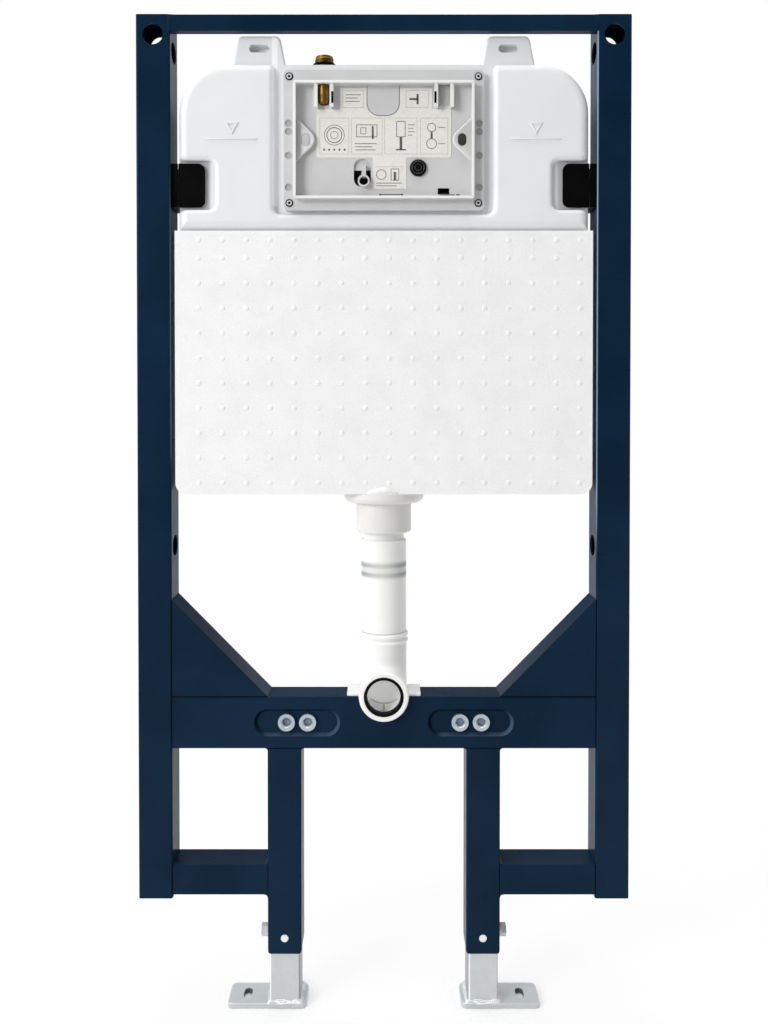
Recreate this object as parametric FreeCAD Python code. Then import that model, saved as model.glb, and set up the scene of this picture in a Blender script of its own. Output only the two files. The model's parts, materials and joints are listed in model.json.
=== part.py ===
"""Wall hung toilet frame: a welded steel frame that carries a slim concealed cistern.

Millimetres, +Z up, +X to the right seen from the front, the front towards -Y.
The origin lies on the back face of the bolt beam, on the centre line, in the web under the pipe notch.
"""
import FreeCAD, Part
import math
import os

from FreeCAD import Vector

# Reach of every cut past the face that it opens, and the flat left at the middle of a full round end
cut_over = 1.0
round_end_flat = 0.5

# Welded frame
frame_width = 580.0
frame_depth = 40.0
post_width = 40.0
post_wall = 2.0
post_above_beam = 800.0
post_below_rail = 4.0
tube_corner = 2.5
top_rail_height = 19.0
top_rail_depth = 12.0
top_rail_wall = 1.5
wall_hole_radius = 12.0
wall_hole_below_top = 23.0
side_hole_radius = 12.5
side_hole_below_top = 38.0
side_hole_spacing = 586.0

# Bolt beam with its pressed recesses, threaded inserts and pipe notch
beam_height = 62.0
beam_below_origin = 16.0
beam_wall = 2.5
outer_bolt_spacing = 230.0
inner_bolt_spacing = 180.0
recess_length = 101.0
recess_height = 32.0
recess_depth = 4.0
recess_draft = 3.0
insert_radius = 10.0
insert_bore_radius = 5.1
insert_length = 24.0
insert_mouth_chamfer = 1.2
insert_proud = 0.6

# Gussets of folded sheet
gusset_height = 115.0
gusset_width = 113.0
gusset_sheet = 2.0
gusset_back_gap = 2.0

# Legs and lower rails
leg_width = 40.0
leg_wall = 1.5
leg_length = 244.0
leg_end_round = 3.5
leg_centre_x = 117.5
leg_pin_hole_radius = 5.0
leg_pin_hole_above_end = 18.0
rail_below_beam = 138.0
rail_height = 36.0
rail_wall = 2.0

# Telescoping feet, drawn out as far as they stand here
foot_tube_clearance = 0.5
foot_tube_wall = 2.0
foot_tube_inside_leg = 184.0
foot_drawn_out = 59.5
plate_thickness = 6.0
plate_length = 93.5
plate_inboard_overhang = 7.5
plate_corner = 6.0
plate_chamfer = 1.0
slot_width = 10.0
slot_length = 18.0
slot_from_outer_end = 22.0

# Clamp screws in the outer side of each leg
clamp_head_flats = 13.0
clamp_head_height = 5.3
clamp_collar_radius = 7.6
clamp_collar_height = 4.0
clamp_shank_radius = 4.0
clamp_tip_clearance = 0.2

# Cistern
tank_below_frame_top = 55.0
tank_side_gap = 8.5
tank_front_setback = 1.0
tank_depth = 83.0
tank_top_corner = 58.0
tank_front_round = 12.0
tank_back_round = 8.0
tank_wall = 3.0
skirt_corner = 20.0
skirt_setback = 9.0
ear_width_base = 62.0
ear_width_top = 49.0
ear_height = 34.0
ear_centre_x = 147.0
ear_front_setback = 10.0
ear_thickness = 14.0
ear_edge_round = 2.5
ear_corner = 7.0
ear_slot_length = 24.0
ear_slot_height = 9.5
ear_slot_below_top = 15.0
ear_slot_depth = 10.0
bay_half_width = 129.0
bay_height = 177.0
bay_depth = 8.0
bay_corner = 8.0
tank_rim_round = 6.0
bracket_recess_width = 43.0
bracket_recess_height = 57.0
bracket_recess_depth = 7.0
bracket_recess_corner = 8.0
bracket_centre_below_tank_top = 143.0

# Insulation jacket round the lower cistern
jacket_side_gap = 5.0
jacket_height = 309.0
jacket_below_tank_top = 197.0
jacket_bottom_wall = 10.0
jacket_corner = 13.0
jacket_front_proud = 1.0
jacket_clearance = 0.3
jacket_outlet_radius = 40.0

# Service window and its cover plate
box_flange_width = 235.0
box_flange_height = 164.0
box_flange_thickness = 7.0
box_flange_corner = 6.0
box_flange_below_tank_top = 9.0
box_window_width = 205.2
box_window_height = 131.0
box_window_below_flange_top = 18.0
box_window_corner = 2.0
box_lip_width = 2.5
box_lip_height = 9.0
flange_hole_radius = 4.3
flange_hole_inset = 5.9
flange_hole_levels = (62.2, 71.9, 99.8, 137.0)
flange_hole_depth = 1.2
opening_margin = 3.0
opening_rise = 8.0
cover_setback = 1.0
cover_wall = 2.5
pipe_gap_width = 14.0
pipe_gap_height = 22.5
pipe_gap_round = 5.0
pipe_gap_from_window_side = 32.5
pipe_gap_skin = 2.0
pipe_gap_rise = 7.0
pipe_gap_lip_rise = 1.2
lug_height = 49.4
lug_reach = 21.5
lug_thickness = 3.5
lug_tip_round = 6.0
lug_hole_width = 9.5
lug_hole_height = 13.0
lug_below_window_top = 64.2
tongue_width = 37.0
tongue_height = 34.6
tongue_round = 14.0
tongue_thickness = 0.8
tongue_centre_x = -0.7
rod_slot_width = 20.0
rod_slot_height = 33.0
rod_slot_x = -25.2
rod_slot_above_floor = 12.6
latch_slot_width = 13.8
latch_slot_height = 7.2
latch_slot_x = 70.1
latch_slot_above_floor = 7.7

# Fittings on the cover plate and the water inlet behind it
inlet_from_window_side = 31.1
inlet_setback = 33.0
inlet_thread_radius = 10.475
inlet_thread_length = 13.8
inlet_shank_radius = 9.0
inlet_shank_below_tank_top = 2.0
inlet_stem_radius = 6.6
inlet_stem_chamfer = 2.5
inlet_stem_reach = 30.0
inlet_bore_radius = 5.0
inlet_washer_radius = 14.0
inlet_washer_thickness = 3.0
blank_stub_radius = 8.0
clip_wall = 2.0
clip_depth = 8.0
clip_drop = 27.0
clip_hook = 4.5
clip_hook_thickness = 2.0
sheet_thickness = 0.5
sheet_clearance = 1.0
sheet_from_window_side = 23.6
sheet_corner = 2.5
sheet_height = 56.7
sheet_upper_gap = 27.5
sheet_head_x = (-51.0, 56.5)
sheet_head_rise = 24.5
sheet_tab_x = (-12.6, 26.5)
sheet_tab_drop = 36.3
rod_guide_radius = 6.9
rod_guide_bore = 5.2
rod_guide_length = 6.0
rod_guide_x = -23.5
rod_guide_above_slot_end = 6.2
rod_rib_width = 5.2
rod_rib_proud = 3.0
rod_pad_height = 13.0
rod_pad_margin = 2.0
rod_pad_thickness = 1.5
plug_radius = 9.8
plug_x = 40.3
plug_above_floor = 34.6
plug_thickness = 3.0
plug_chamfer = 1.0

# Black brackets that tie the cistern to the posts
bracket_height = 51.0
bracket_front_reach = 39.5
bracket_thickness = 3.0
bracket_side_depth = 34.0
bracket_corner = 8.0
bracket_slit = 1.0
bracket_slit_from_post = 7.5
bracket_neck = 16.0

# Flush pipe from the outlet nut to the elbow
pipe_behind_frame = 2.0
pipe_radius = 27.4
pipe_bore_radius = 22.5
pipe_neck_radius = 24.4
pipe_neck_length = 9.0
pipe_spigot_length = 30.0
pipe_body_length = 112.6
pipe_chamfer = 1.5
nut_radius = 48.3
nut_height = 12.5
nut_chamfer = 5.0
nut_chamfer_ease = 1.6
collar_radius = 33.2
collar_below_nut = 36.4
collar_clearance = 0.2
collar_chamfer = 2.0
elbow_radius = 27.6
elbow_bend_radius = 36.0
elbow_axis_above_beam = 1.5
elbow_ring_radius = 29.2
elbow_ring_length = 8.0
elbow_ring_gap = 0.3
elbow_ring_chamfer = 1.5
elbow_bead_radius = 29.5
elbow_bead_height = 5.0
elbow_bead_spacing = 8.0
elbow_bead_chamfer = 1.5
seal_outer_radius = 23.4
seal_inner_radius = 19.6
seal_length = 8.0
seal_setback = 0.8
saddle_width = 87.0
saddle_thickness = 3.5
saddle_cradle = 2.3
saddle_clearance = 0.3
saddle_inset = 2.0

# Levels and faces that follow from the sizes
front = -frame_depth
post_outer = frame_width / 2
post_inner = post_outer - post_width
beam_bottom = -beam_below_origin
beam_top = beam_bottom + beam_height
bolt_level = beam_bottom + beam_height / 2
post_top = beam_top + post_above_beam
rail_top = beam_bottom - rail_below_beam
rail_bottom = rail_top - rail_height
post_bottom = rail_bottom - post_below_rail
leg_bottom = beam_bottom - leg_length
leg_outer = leg_centre_x + leg_width / 2
leg_inner = leg_centre_x - leg_width / 2
tank_top = post_top - tank_below_frame_top
tank_half_width = post_inner - tank_side_gap
jacket_half_width = post_inner - jacket_side_gap
tank_front = front + tank_front_setback
tank_back = tank_front + tank_depth
hollow_chamfer = tank_front_round - 2 * tank_wall
jacket_top = tank_top - jacket_below_tank_top
jacket_bottom = jacket_top - jacket_height
skirt_bottom = jacket_bottom + jacket_bottom_wall
skirt_half_width = jacket_half_width - skirt_setback
skirt_front = tank_front + skirt_setback
skirt_back = tank_back - skirt_setback
bay_floor = tank_front + bay_depth
flange_top = tank_top - box_flange_below_tank_top
flange_bottom = flange_top - box_flange_height
flange_front = bay_floor - box_flange_thickness
window_top = flange_top - box_window_below_flange_top
window_bottom = window_top - box_window_height
window_half = box_window_width / 2
cover_front = flange_front + cover_setback
cover_back = cover_front + cover_wall
pipe_gap_x = window_half - pipe_gap_from_window_side
rod_slot_end = window_bottom + rod_slot_above_floor
rod_slot_top = rod_slot_end + rod_slot_height
rod_guide_level = rod_slot_end + rod_guide_above_slot_end
inlet_x = inlet_from_window_side - window_half
inlet_y = front + inlet_setback
inlet_stem_end = window_top - inlet_stem_reach
sheet_half_width = window_half - sheet_from_window_side
bracket_level = tank_top - bracket_centre_below_tank_top
nut_top = jacket_bottom
nut_bottom = nut_top - nut_height
collar_bottom = nut_bottom - collar_below_nut
pipe_top = collar_bottom - pipe_neck_length
pipe_bottom = pipe_top - pipe_body_length
elbow_level = beam_top + elbow_axis_above_beam
elbow_mouth = front - elbow_ring_length
cradle_inner = elbow_radius + saddle_clearance
cradle_outer = cradle_inner + saddle_cradle
notch_radius = cradle_outer + saddle_clearance
foot_tube_half = leg_width / 2 - leg_wall - foot_tube_clearance
plate_top = leg_bottom - foot_drawn_out
plate_bottom = plate_top - plate_thickness

X_AXIS = Vector(1, 0, 0)
Y_AXIS = Vector(0, 1, 0)
Z_AXIS = Vector(0, 0, 1)
ORIGIN = Vector(0, 0, 0)


def past(low, high):
    """A span that reaches a little past both its ends, for a cut."""
    return low - cut_over, high + cut_over


def block(x_span, y_span, z_span):
    """A box between the low and high value of each span."""
    size = [high - low for low, high in (x_span, y_span, z_span)]
    return Part.makeBox(size[0], size[1], size[2], Vector(x_span[0], y_span[0], z_span[0]))


def rod(radius, start, end):
    """A solid cylinder from one point to another."""
    run = end - start
    return Part.makeCylinder(radius, run.Length, start, run)


def rod_y(radius, x, z, y_span):
    """A cylinder that lies front to back."""
    return rod(radius, Vector(x, y_span[0], z), Vector(x, y_span[1], z))


def rod_z(radius, x, y, z_span):
    """An upright cylinder."""
    return rod(radius, Vector(x, y, z_span[0]), Vector(x, y, z_span[1]))


def edges_along(shape, direction):
    """The straight edges that run along a direction."""
    found = []
    for edge in shape.Edges:
        if edge.Length > 1e-6 and isinstance(edge.Curve, Part.Line):
            if abs(edge.tangentAt(edge.FirstParameter).dot(direction)) > 0.999:
                found.append(edge)
    return found


def edges_at_y(shape, level):
    """The edges that lie wholly in one plane square to Y."""
    found = []
    for edge in shape.Edges:
        bounds = edge.BoundBox
        if abs(bounds.YMin - level) < 1e-4 and abs(bounds.YMax - level) < 1e-4:
            found.append(edge)
    return found


def edges_at_z(shape, level):
    """The edges that lie wholly at one height."""
    found = []
    for edge in shape.Edges:
        bounds = edge.BoundBox
        if abs(bounds.ZMin - level) < 1e-4 and abs(bounds.ZMax - level) < 1e-4:
            found.append(edge)
    return found


def round_along(shape, direction, radius):
    """Rounds every straight edge that runs along a direction."""
    return shape.makeFillet(radius, edges_along(shape, direction))


def prism_y(points, y_span):
    """A solid with an outline of (x, z) points, from one Y to another."""
    corners = [Vector(x, y_span[0], z) for x, z in points]
    face = Part.Face(Part.makePolygon(corners + corners[:1]))
    return face.extrude(Vector(0, y_span[1] - y_span[0], 0))


def slab(x_span, y_span, z_span, top_radius, bottom_radius):
    """A block with its four corners, seen from the front, rounded."""
    middle = (z_span[0] + z_span[1]) / 2
    shape = block(x_span, y_span, z_span)
    for is_top, radius in ((True, top_radius), (False, bottom_radius)):
        if radius > 0:
            chosen = []
            for edge in edges_along(shape, Y_AXIS):
                if (edge.CenterOfMass.z > middle) == is_top:
                    chosen.append(edge)
            shape = shape.makeFillet(radius, chosen)
    return shape


def oblong_wire(length, height, x, y, z):
    """A closed oblong with round ends, lying along X in a plane square to Y."""
    radius = height / 2
    reach = length / 2 - radius
    corner = [Vector(x - reach, y, z + radius), Vector(x + reach, y, z + radius),
              Vector(x + reach, y, z - radius), Vector(x - reach, y, z - radius)]
    right = Vector(x + length / 2, y, z)
    left = Vector(x - length / 2, y, z)
    edges = [Part.LineSegment(corner[0], corner[1]).toShape(),
             Part.Arc(corner[1], right, corner[2]).toShape(),
             Part.LineSegment(corner[2], corner[3]).toShape(),
             Part.Arc(corner[3], left, corner[0]).toShape()]
    return Part.Wire(edges)


def oblong(length, height, x, z, y_span):
    """An oblong solid from one Y to another."""
    face = Part.Face(oblong_wire(length, height, x, y_span[0], z))
    return face.extrude(Vector(0, y_span[1] - y_span[0], 0))


def oblong_pan(length, height, draft, x, z, y_span):
    """An oblong that narrows towards its far end, as a pressed pan does."""
    near = oblong_wire(length, height, x, y_span[0], z)
    far = oblong_wire(length - 2 * draft, height - 2 * draft, x, y_span[1], z)
    return Part.makeLoft([near, far], True)


def square_tube_z(x_span, y_span, z_span, wall, top_wall):
    """An upright square tube, closed at the top by a plate where top_wall isn't zero."""
    shape = round_along(block(x_span, y_span, z_span), Z_AXIS, tube_corner)
    hollow = block((x_span[0] + wall, x_span[1] - wall), (y_span[0] + wall, y_span[1] - wall),
                   (z_span[0], z_span[1] - top_wall))
    return shape.cut(hollow)


def square_tube_x(x_span, y_span, z_span, wall):
    """A square tube that lies along X."""
    shape = round_along(block(x_span, y_span, z_span), X_AXIS, min(tube_corner, wall))
    hollow = block(x_span, (y_span[0] + wall, y_span[1] - wall), (z_span[0] + wall, z_span[1] - wall))
    return shape.cut(hollow)


def mirrored(shape):
    """The same piece on the other side of the centre line."""
    return shape.mirror(ORIGIN, X_AXIS)


def left_post():
    """Upright with a wall fixing hole at the top and two cable holes in its inner side."""
    shape = square_tube_z((-post_outer, -post_inner), (front, 0), (post_bottom, post_top),
                          post_wall, post_wall)
    hole_x = -(post_outer + post_inner) / 2
    shape = shape.cut(rod_y(wall_hole_radius, hole_x, post_top - wall_hole_below_top, past(front, 0)))
    first = post_top - side_hole_below_top
    for level in (first, first - side_hole_spacing):
        start = Vector(-post_inner - post_wall - cut_over, front / 2, level)
        shape = shape.cut(rod(side_hole_radius, start, Vector(-post_inner + cut_over, front / 2, level)))
    return shape


def top_rail():
    """Slim tube between the posts, level with their front and top."""
    return square_tube_x((-post_inner, post_inner), (front, front + top_rail_depth),
                         (post_top - top_rail_height, post_top), top_rail_wall)


def bolt_beam():
    """Box beam with two pressed recesses for the bolts and a notch for the flush elbow."""
    shape = square_tube_x((-post_inner, post_inner), (front, 0), (beam_bottom, beam_top), beam_wall)
    pair_x = (outer_bolt_spacing + inner_bolt_spacing) / 4
    for side in (-1, 1):
        x = side * pair_x
        pan = oblong_pan(recess_length + 2 * beam_wall, recess_height + 2 * beam_wall, recess_draft,
                         x, bolt_level, (front + beam_wall / 2, front + recess_depth + beam_wall))
        shape = shape.fuse(pan)
    for side in (-1, 1):
        x = side * pair_x
        shape = shape.cut(oblong_pan(recess_length, recess_height, recess_draft, x, bolt_level,
                                     (front, front + recess_depth)))
        for spacing in (outer_bolt_spacing, inner_bolt_spacing):
            shape = shape.cut(rod_y(insert_radius, side * spacing / 2, bolt_level,
                                    (front, front + insert_length)))
    notch = rod_y(notch_radius, 0, elbow_level, past(front, 0))
    return shape.cut(notch).removeSplitter()


def left_bolt_inserts():
    """Two threaded sleeves through the pressed recess."""
    sleeves = []
    near = front - insert_proud
    for spacing in (outer_bolt_spacing, inner_bolt_spacing):
        x = -spacing / 2
        sleeve = rod_y(insert_radius, x, bolt_level, (near, front + insert_length))
        sleeve = sleeve.cut(rod_y(insert_bore_radius, x, bolt_level, past(near, front + insert_length)))
        mouth = Part.makeCone(insert_bore_radius + insert_mouth_chamfer, insert_bore_radius,
                              insert_mouth_chamfer, Vector(x, near, bolt_level), Y_AXIS)
        sleeves.append(sleeve.cut(mouth))
    return Part.makeCompound(sleeves)


def left_gusset():
    """Folded sheet: an upright triangle with a flange along its slope."""
    corner = (-post_inner, beam_top)
    top = (-post_inner, beam_top + gusset_height)
    toe = (-post_inner + gusset_width, beam_top)
    shape = prism_y([corner, toe, top], (front, -gusset_back_gap))
    slope = math.hypot(gusset_width, gusset_height)
    shift_x = gusset_sheet * slope / gusset_height
    shift_z = gusset_sheet * slope / gusset_width
    inside = [corner, (toe[0] - shift_x, corner[1]), (corner[0], top[1] - shift_z)]
    return shape.cut(prism_y(inside, (front + gusset_sheet, 0)))


def left_leg():
    """Square tube under the beam that the foot slides in, eased at its lower end."""
    x_span = (-leg_outer, -leg_inner)
    z_span = (leg_bottom, beam_bottom)
    shape = square_tube_z(x_span, (front, 0), z_span, leg_wall, 0)
    shape = shape.common(slab(x_span, past(front, 0), z_span, 0, leg_end_round))
    level = leg_bottom + leg_pin_hole_above_end
    shape = shape.cut(rod_y(leg_pin_hole_radius, -leg_centre_x, level, past(front, front + leg_wall)))
    start = Vector(-leg_outer - cut_over, front / 2, level)
    end = Vector(-leg_outer + leg_wall + cut_over, front / 2, level)
    return shape.cut(rod(clamp_shank_radius, start, end))


def left_lower_rail():
    """Tube that braces the post against the leg."""
    return square_tube_x((-post_inner, -leg_outer), (front, 0), (rail_bottom, rail_top), rail_wall)


def left_clamp_bolt():
    """Hex screw in a welded collar that clamps the foot tube."""
    level = leg_bottom + leg_pin_hole_above_end
    seat = Vector(-leg_outer, front / 2, level)
    collar_face = seat - X_AXIS * clamp_collar_height
    collar = rod(clamp_collar_radius, seat, collar_face)
    corner_radius = clamp_head_flats / math.sqrt(3)
    corners = []
    for step in range(6):
        angle = math.radians(60 * step)
        corners.append(collar_face + Vector(0, math.cos(angle), math.sin(angle)) * corner_radius)
    head = Part.Face(Part.makePolygon(corners + corners[:1])).extrude(-X_AXIS * clamp_head_height)
    tip = Vector(-leg_centre_x - foot_tube_half - clamp_tip_clearance, front / 2, level)
    return collar.fuse([head, rod(clamp_shank_radius, seat, tip)]).removeSplitter()


def left_foot_tube():
    """Square tube that slides in the leg and stands on the foot plate."""
    middle = front / 2
    return square_tube_z((-leg_centre_x - foot_tube_half, -leg_centre_x + foot_tube_half),
                         (middle - foot_tube_half, middle + foot_tube_half),
                         (plate_top, leg_bottom + foot_tube_inside_leg), foot_tube_wall, 0)


def left_foot_plate():
    """Flat plate with a fixing slot outboard of the tube."""
    inner_end = -leg_centre_x + foot_tube_half + plate_inboard_overhang
    outer_end = inner_end - plate_length
    shape = block((outer_end, inner_end), (front, 0), (plate_bottom, plate_top))
    shape = round_along(shape, Z_AXIS, plate_corner)
    shape = shape.makeChamfer(plate_chamfer, edges_at_z(shape, plate_top))
    slot_x = outer_end + slot_from_outer_end
    reach = (slot_length - slot_width) / 2
    tall = past(plate_bottom, plate_top)
    cutter = block((slot_x - slot_width / 2, slot_x + slot_width / 2),
                   (front / 2 - reach, front / 2 + reach), tall)
    for y in (front / 2 - reach, front / 2 + reach):
        cutter = cutter.fuse(rod_z(slot_width / 2, slot_x, y, tall))
    return shape.cut(cutter).removeSplitter()


def tank_ear(side):
    """Hanging ear on top of the cistern, with a blind slot."""
    x = side * ear_centre_x
    y_span = (front + ear_front_setback, front + ear_front_setback + ear_thickness)
    root = tank_top - tank_front_round
    ear_top = tank_top + ear_height
    half_base = ear_width_base / 2
    half_top = ear_width_top / 2
    shape = prism_y([(x - half_base, root), (x + half_base, root), (x + half_base, tank_top),
                     (x + half_top, ear_top), (x - half_top, ear_top), (x - half_base, tank_top)], y_span)
    corners = [edge for edge in edges_along(shape, Y_AXIS) if abs(edge.CenterOfMass.z - ear_top) < 1e-4]
    shape = shape.makeFillet(ear_corner, corners)
    shape = shape.makeFillet(ear_edge_round, edges_at_y(shape, y_span[0]))
    return shape.cut(oblong(ear_slot_length, ear_slot_height, x, ear_top - ear_slot_below_top,
                            (y_span[0] - cut_over, y_span[0] + ear_slot_depth)))


def tank_forms(inset):
    """Upper body and skirt of the cistern, set in from the outside."""
    upper = slab((-tank_half_width + inset, tank_half_width - inset),
                 (tank_front + inset, tank_back - inset),
                 (jacket_top + jacket_clearance + inset, tank_top - inset),
                 tank_top_corner - inset, 0)
    skirt = slab((-skirt_half_width + inset, skirt_half_width - inset),
                 (skirt_front + inset, skirt_back - inset),
                 (skirt_bottom + inset, bracket_level), 0, skirt_corner - inset)
    return upper, skirt


def tank_body():
    """The cistern's closed form with soft front and back edges."""
    upper, skirt = tank_forms(0)
    upper = upper.makeFillet(tank_front_round, edges_at_y(upper, tank_front))
    upper = upper.makeFillet(tank_back_round, edges_at_y(upper, tank_back))
    return upper.fuse(skirt)


def tank_hollow():
    """The space inside the cistern, behind the walls of its pockets."""
    upper, skirt = tank_forms(tank_wall)
    rims = edges_at_y(upper, tank_front + tank_wall) + edges_at_y(upper, tank_back - tank_wall)
    upper = upper.makeChamfer(hollow_chamfer, rims)
    return upper.fuse(skirt).cut(tank_pockets(tank_wall))


def tank_pockets(grow):
    """Service bay and bracket recesses, or their walls when grown."""
    near = tank_front - cut_over
    pockets = [slab((-bay_half_width - grow, bay_half_width + grow), (near, bay_floor + grow),
                    (tank_top - bay_height - grow, tank_top + cut_over), 0, bay_corner + grow)]
    for side in (-1, 1):
        inner = side * (tank_half_width - bracket_recess_width - grow)
        outer = side * (tank_half_width + bracket_recess_corner + grow)
        half_height = bracket_recess_height / 2 + grow
        pockets.append(slab((min(inner, outer), max(inner, outer)),
                            (near, tank_front + bracket_recess_depth + grow),
                            (bracket_level - half_height, bracket_level + half_height),
                            bracket_recess_corner, bracket_recess_corner))
    return pockets


def cistern_tank():
    """Blow moulded cistern: a hollow body with ears and a service opening, and a skirt inside the jacket."""
    pockets = tank_pockets(0)
    shape = tank_body().cut(pockets).removeSplitter()
    rims = []
    for edge in edges_at_y(shape, tank_front):
        middle = Part.Vertex(edge.valueAt((edge.FirstParameter + edge.LastParameter) / 2))
        if edge.Length > 1e-3 and any(pocket.distToShape(middle)[0] < 1e-4 for pocket in pockets):
            rims.append(edge)
    shape = shape.makeFillet(tank_rim_round, rims)
    shape = shape.fuse([tank_ear(-1), tank_ear(1)])
    shape = shape.cut(tank_hollow())
    half = window_half - opening_margin
    opening = block((-half, half), past(bay_floor, bay_floor + tank_wall),
                    (window_bottom + opening_margin, window_top + opening_rise))
    inlet_hole = rod_z(inlet_shank_radius, inlet_x, inlet_y, past(tank_top - tank_wall, tank_top))
    outlet_hole = rod_z(pipe_neck_radius + collar_clearance, 0, pipe_behind_frame,
                        past(skirt_bottom, skirt_bottom + tank_wall))
    shape = shape.cut([opening, inlet_hole, outlet_hole])
    blank = rod_z(blank_stub_radius, -inlet_x, inlet_y, (inlet_stem_end, tank_top - tank_wall / 2))
    return shape.fuse(blank).removeSplitter()


def insulation_jacket():
    """Foam tray that wraps the lower cistern, open at the top and round the outlet."""
    y_span = (tank_front - jacket_front_proud, tank_back)
    shape = slab((-jacket_half_width, jacket_half_width), y_span, (jacket_bottom, jacket_top),
                 0, jacket_corner)
    half = skirt_half_width + jacket_clearance
    shape = shape.cut(slab((-half, half), (skirt_front - jacket_clearance, skirt_back + jacket_clearance),
                           (skirt_bottom, jacket_top + cut_over), 0, skirt_corner))
    return shape.cut(rod_z(jacket_outlet_radius, 0, pipe_behind_frame, past(jacket_bottom, skirt_bottom)))


def access_frame():
    """Flange round the service window, with a raised lip and rows of shallow fixing holes."""
    half = box_flange_width / 2
    shape = slab((-half, half), (flange_front, bay_floor), (flange_bottom, flange_top),
                 box_flange_corner, box_flange_corner)
    lip_half = window_half + box_lip_width
    lip = slab((-lip_half, lip_half), (flange_front - box_lip_height, flange_front),
               (window_bottom - box_lip_width, window_top + box_lip_width),
               box_window_corner, box_window_corner)
    shape = shape.fuse(lip)
    shape = shape.cut(slab((-window_half, window_half), past(flange_front - box_lip_height, bay_floor),
                           (window_bottom, window_top), box_window_corner, box_window_corner))
    skin_back = flange_front + pipe_gap_skin
    for side in (-1, 1):
        for below in flange_hole_levels:
            hole_x = side * (half - flange_hole_inset)
            shape = shape.cut(rod_y(flange_hole_radius, hole_x, flange_top - below,
                                    (flange_front - cut_over, flange_front + flange_hole_depth)))
        x_span = (side * pipe_gap_x - pipe_gap_width / 2, side * pipe_gap_x + pipe_gap_width / 2)
        under_lip = block(x_span, (flange_front, skin_back),
                          (window_top - cut_over, window_top + pipe_gap_lip_rise))
        behind_skin = block(x_span, (skin_back, bay_floor + cut_over),
                            (window_top - cut_over, window_top + pipe_gap_rise))
        shape = shape.cut([under_lip, behind_skin])
    return shape.removeSplitter()


def cover_lug(side):
    """Raised triangular lug with a round tip, at a side of the cover plate."""
    wall = side * window_half
    tip = side * (window_half - lug_reach)
    level = window_top - lug_below_window_top
    points = [(wall, level + lug_height / 2), (tip, level), (wall, level - lug_height / 2)]
    shape = prism_y(points, (cover_front - lug_thickness, cover_front))
    tip_edge = [edge for edge in edges_along(shape, Y_AXIS) if abs(edge.CenterOfMass.x - tip) < 1e-4]
    return shape.makeFillet(lug_tip_round, tip_edge)


def lug_hole(side, depth_end):
    """Upright oval hole of a lug, from its front down to a depth."""
    x = side * (window_half - lug_reach / 2)
    level = window_top - lug_below_window_top
    round_end = lug_hole_width / 2 - round_end_flat
    return slab((x - lug_hole_width / 2, x + lug_hole_width / 2),
                (cover_front - lug_thickness - cut_over, depth_end),
                (level - lug_hole_height / 2, level + lug_hole_height / 2), round_end, round_end)


def cover_plate():
    """Plate in the service window with a skirt behind it, two lugs, a tongue and its openings."""
    skirt_inner = window_half - cover_wall
    shape = slab((-window_half, window_half), (cover_front, bay_floor), (window_bottom, window_top),
                 box_window_corner, box_window_corner)
    shape = shape.cut(block((-skirt_inner, skirt_inner), (cover_back, bay_floor + cut_over),
                            (window_bottom + cover_wall, window_top - cover_wall)))
    tongue_half = tongue_width / 2
    tongue = slab((tongue_centre_x - tongue_half, tongue_centre_x + tongue_half),
                  (cover_front - tongue_thickness, cover_front), (window_top - tongue_height, window_top),
                  0, tongue_round)
    shape = shape.fuse([cover_lug(-1), cover_lug(1), tongue])
    openings = [lug_hole(-1, cover_front), lug_hole(1, cover_back + cut_over)]
    slot_round = rod_slot_width / 2 - round_end_flat
    openings.append(slab((rod_slot_x - rod_slot_width / 2, rod_slot_x + rod_slot_width / 2),
                         past(cover_front, cover_back), (rod_slot_end, rod_slot_top),
                         slot_round, slot_round))
    latch_level = window_bottom + latch_slot_above_floor
    openings.append(block((latch_slot_x - latch_slot_width / 2, latch_slot_x + latch_slot_width / 2),
                          past(cover_front, cover_back),
                          (latch_level - latch_slot_height / 2, latch_level + latch_slot_height / 2)))
    for side in (-1, 1):
        x = side * pipe_gap_x
        openings.append(slab((x - pipe_gap_width / 2, x + pipe_gap_width / 2), past(cover_front, bay_floor),
                             (window_top - pipe_gap_height, window_top + cut_over), 0, pipe_gap_round))
    return shape.cut(openings).removeSplitter()


def inlet_valve():
    """Brass water inlet: a threaded stub on top, a shank through the cistern and a stem behind the plate."""
    neck = tank_top - tank_wall - inlet_shank_below_tank_top
    thread_base = tank_top + inlet_washer_thickness
    thread_top = thread_base + inlet_thread_length
    thread = rod_z(inlet_thread_radius, inlet_x, inlet_y, (thread_base, thread_top))
    shank = rod_z(inlet_shank_radius, inlet_x, inlet_y, (neck, thread_base))
    stem = rod_z(inlet_stem_radius, inlet_x, inlet_y, (inlet_stem_end, neck))
    stem = stem.makeChamfer(inlet_stem_chamfer, edges_at_z(stem, inlet_stem_end))
    bore = rod_z(inlet_bore_radius, inlet_x, inlet_y, (neck, thread_top + cut_over))
    return thread.fuse([shank, stem]).cut(bore).removeSplitter()


def inlet_washer():
    """Rubber washer under the inlet's thread."""
    z_span = (tank_top, tank_top + inlet_washer_thickness)
    shape = rod_z(inlet_washer_radius, inlet_x, inlet_y, z_span)
    return shape.cut(rod_z(inlet_shank_radius, inlet_x, inlet_y, past(z_span[0], z_span[1])))


def pipe_clip(x):
    """Two hooked prongs on the cover plate, one at each side of a pipe gap."""
    z_span = (window_top - clip_drop, window_top)
    tip = cover_front - clip_depth
    prongs = []
    for side in (-1, 1):
        root = x + side * pipe_gap_width / 2
        wall = root + side * clip_wall
        hook = root + side * clip_hook
        prong = block((min(root, wall), max(root, wall)), (tip, cover_front), z_span)
        bent = block((min(root, hook), max(root, hook)), (tip, tip + clip_hook_thickness), z_span)
        prongs.append(prong.fuse(bent).removeSplitter())
    return Part.makeCompound(prongs)


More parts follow.
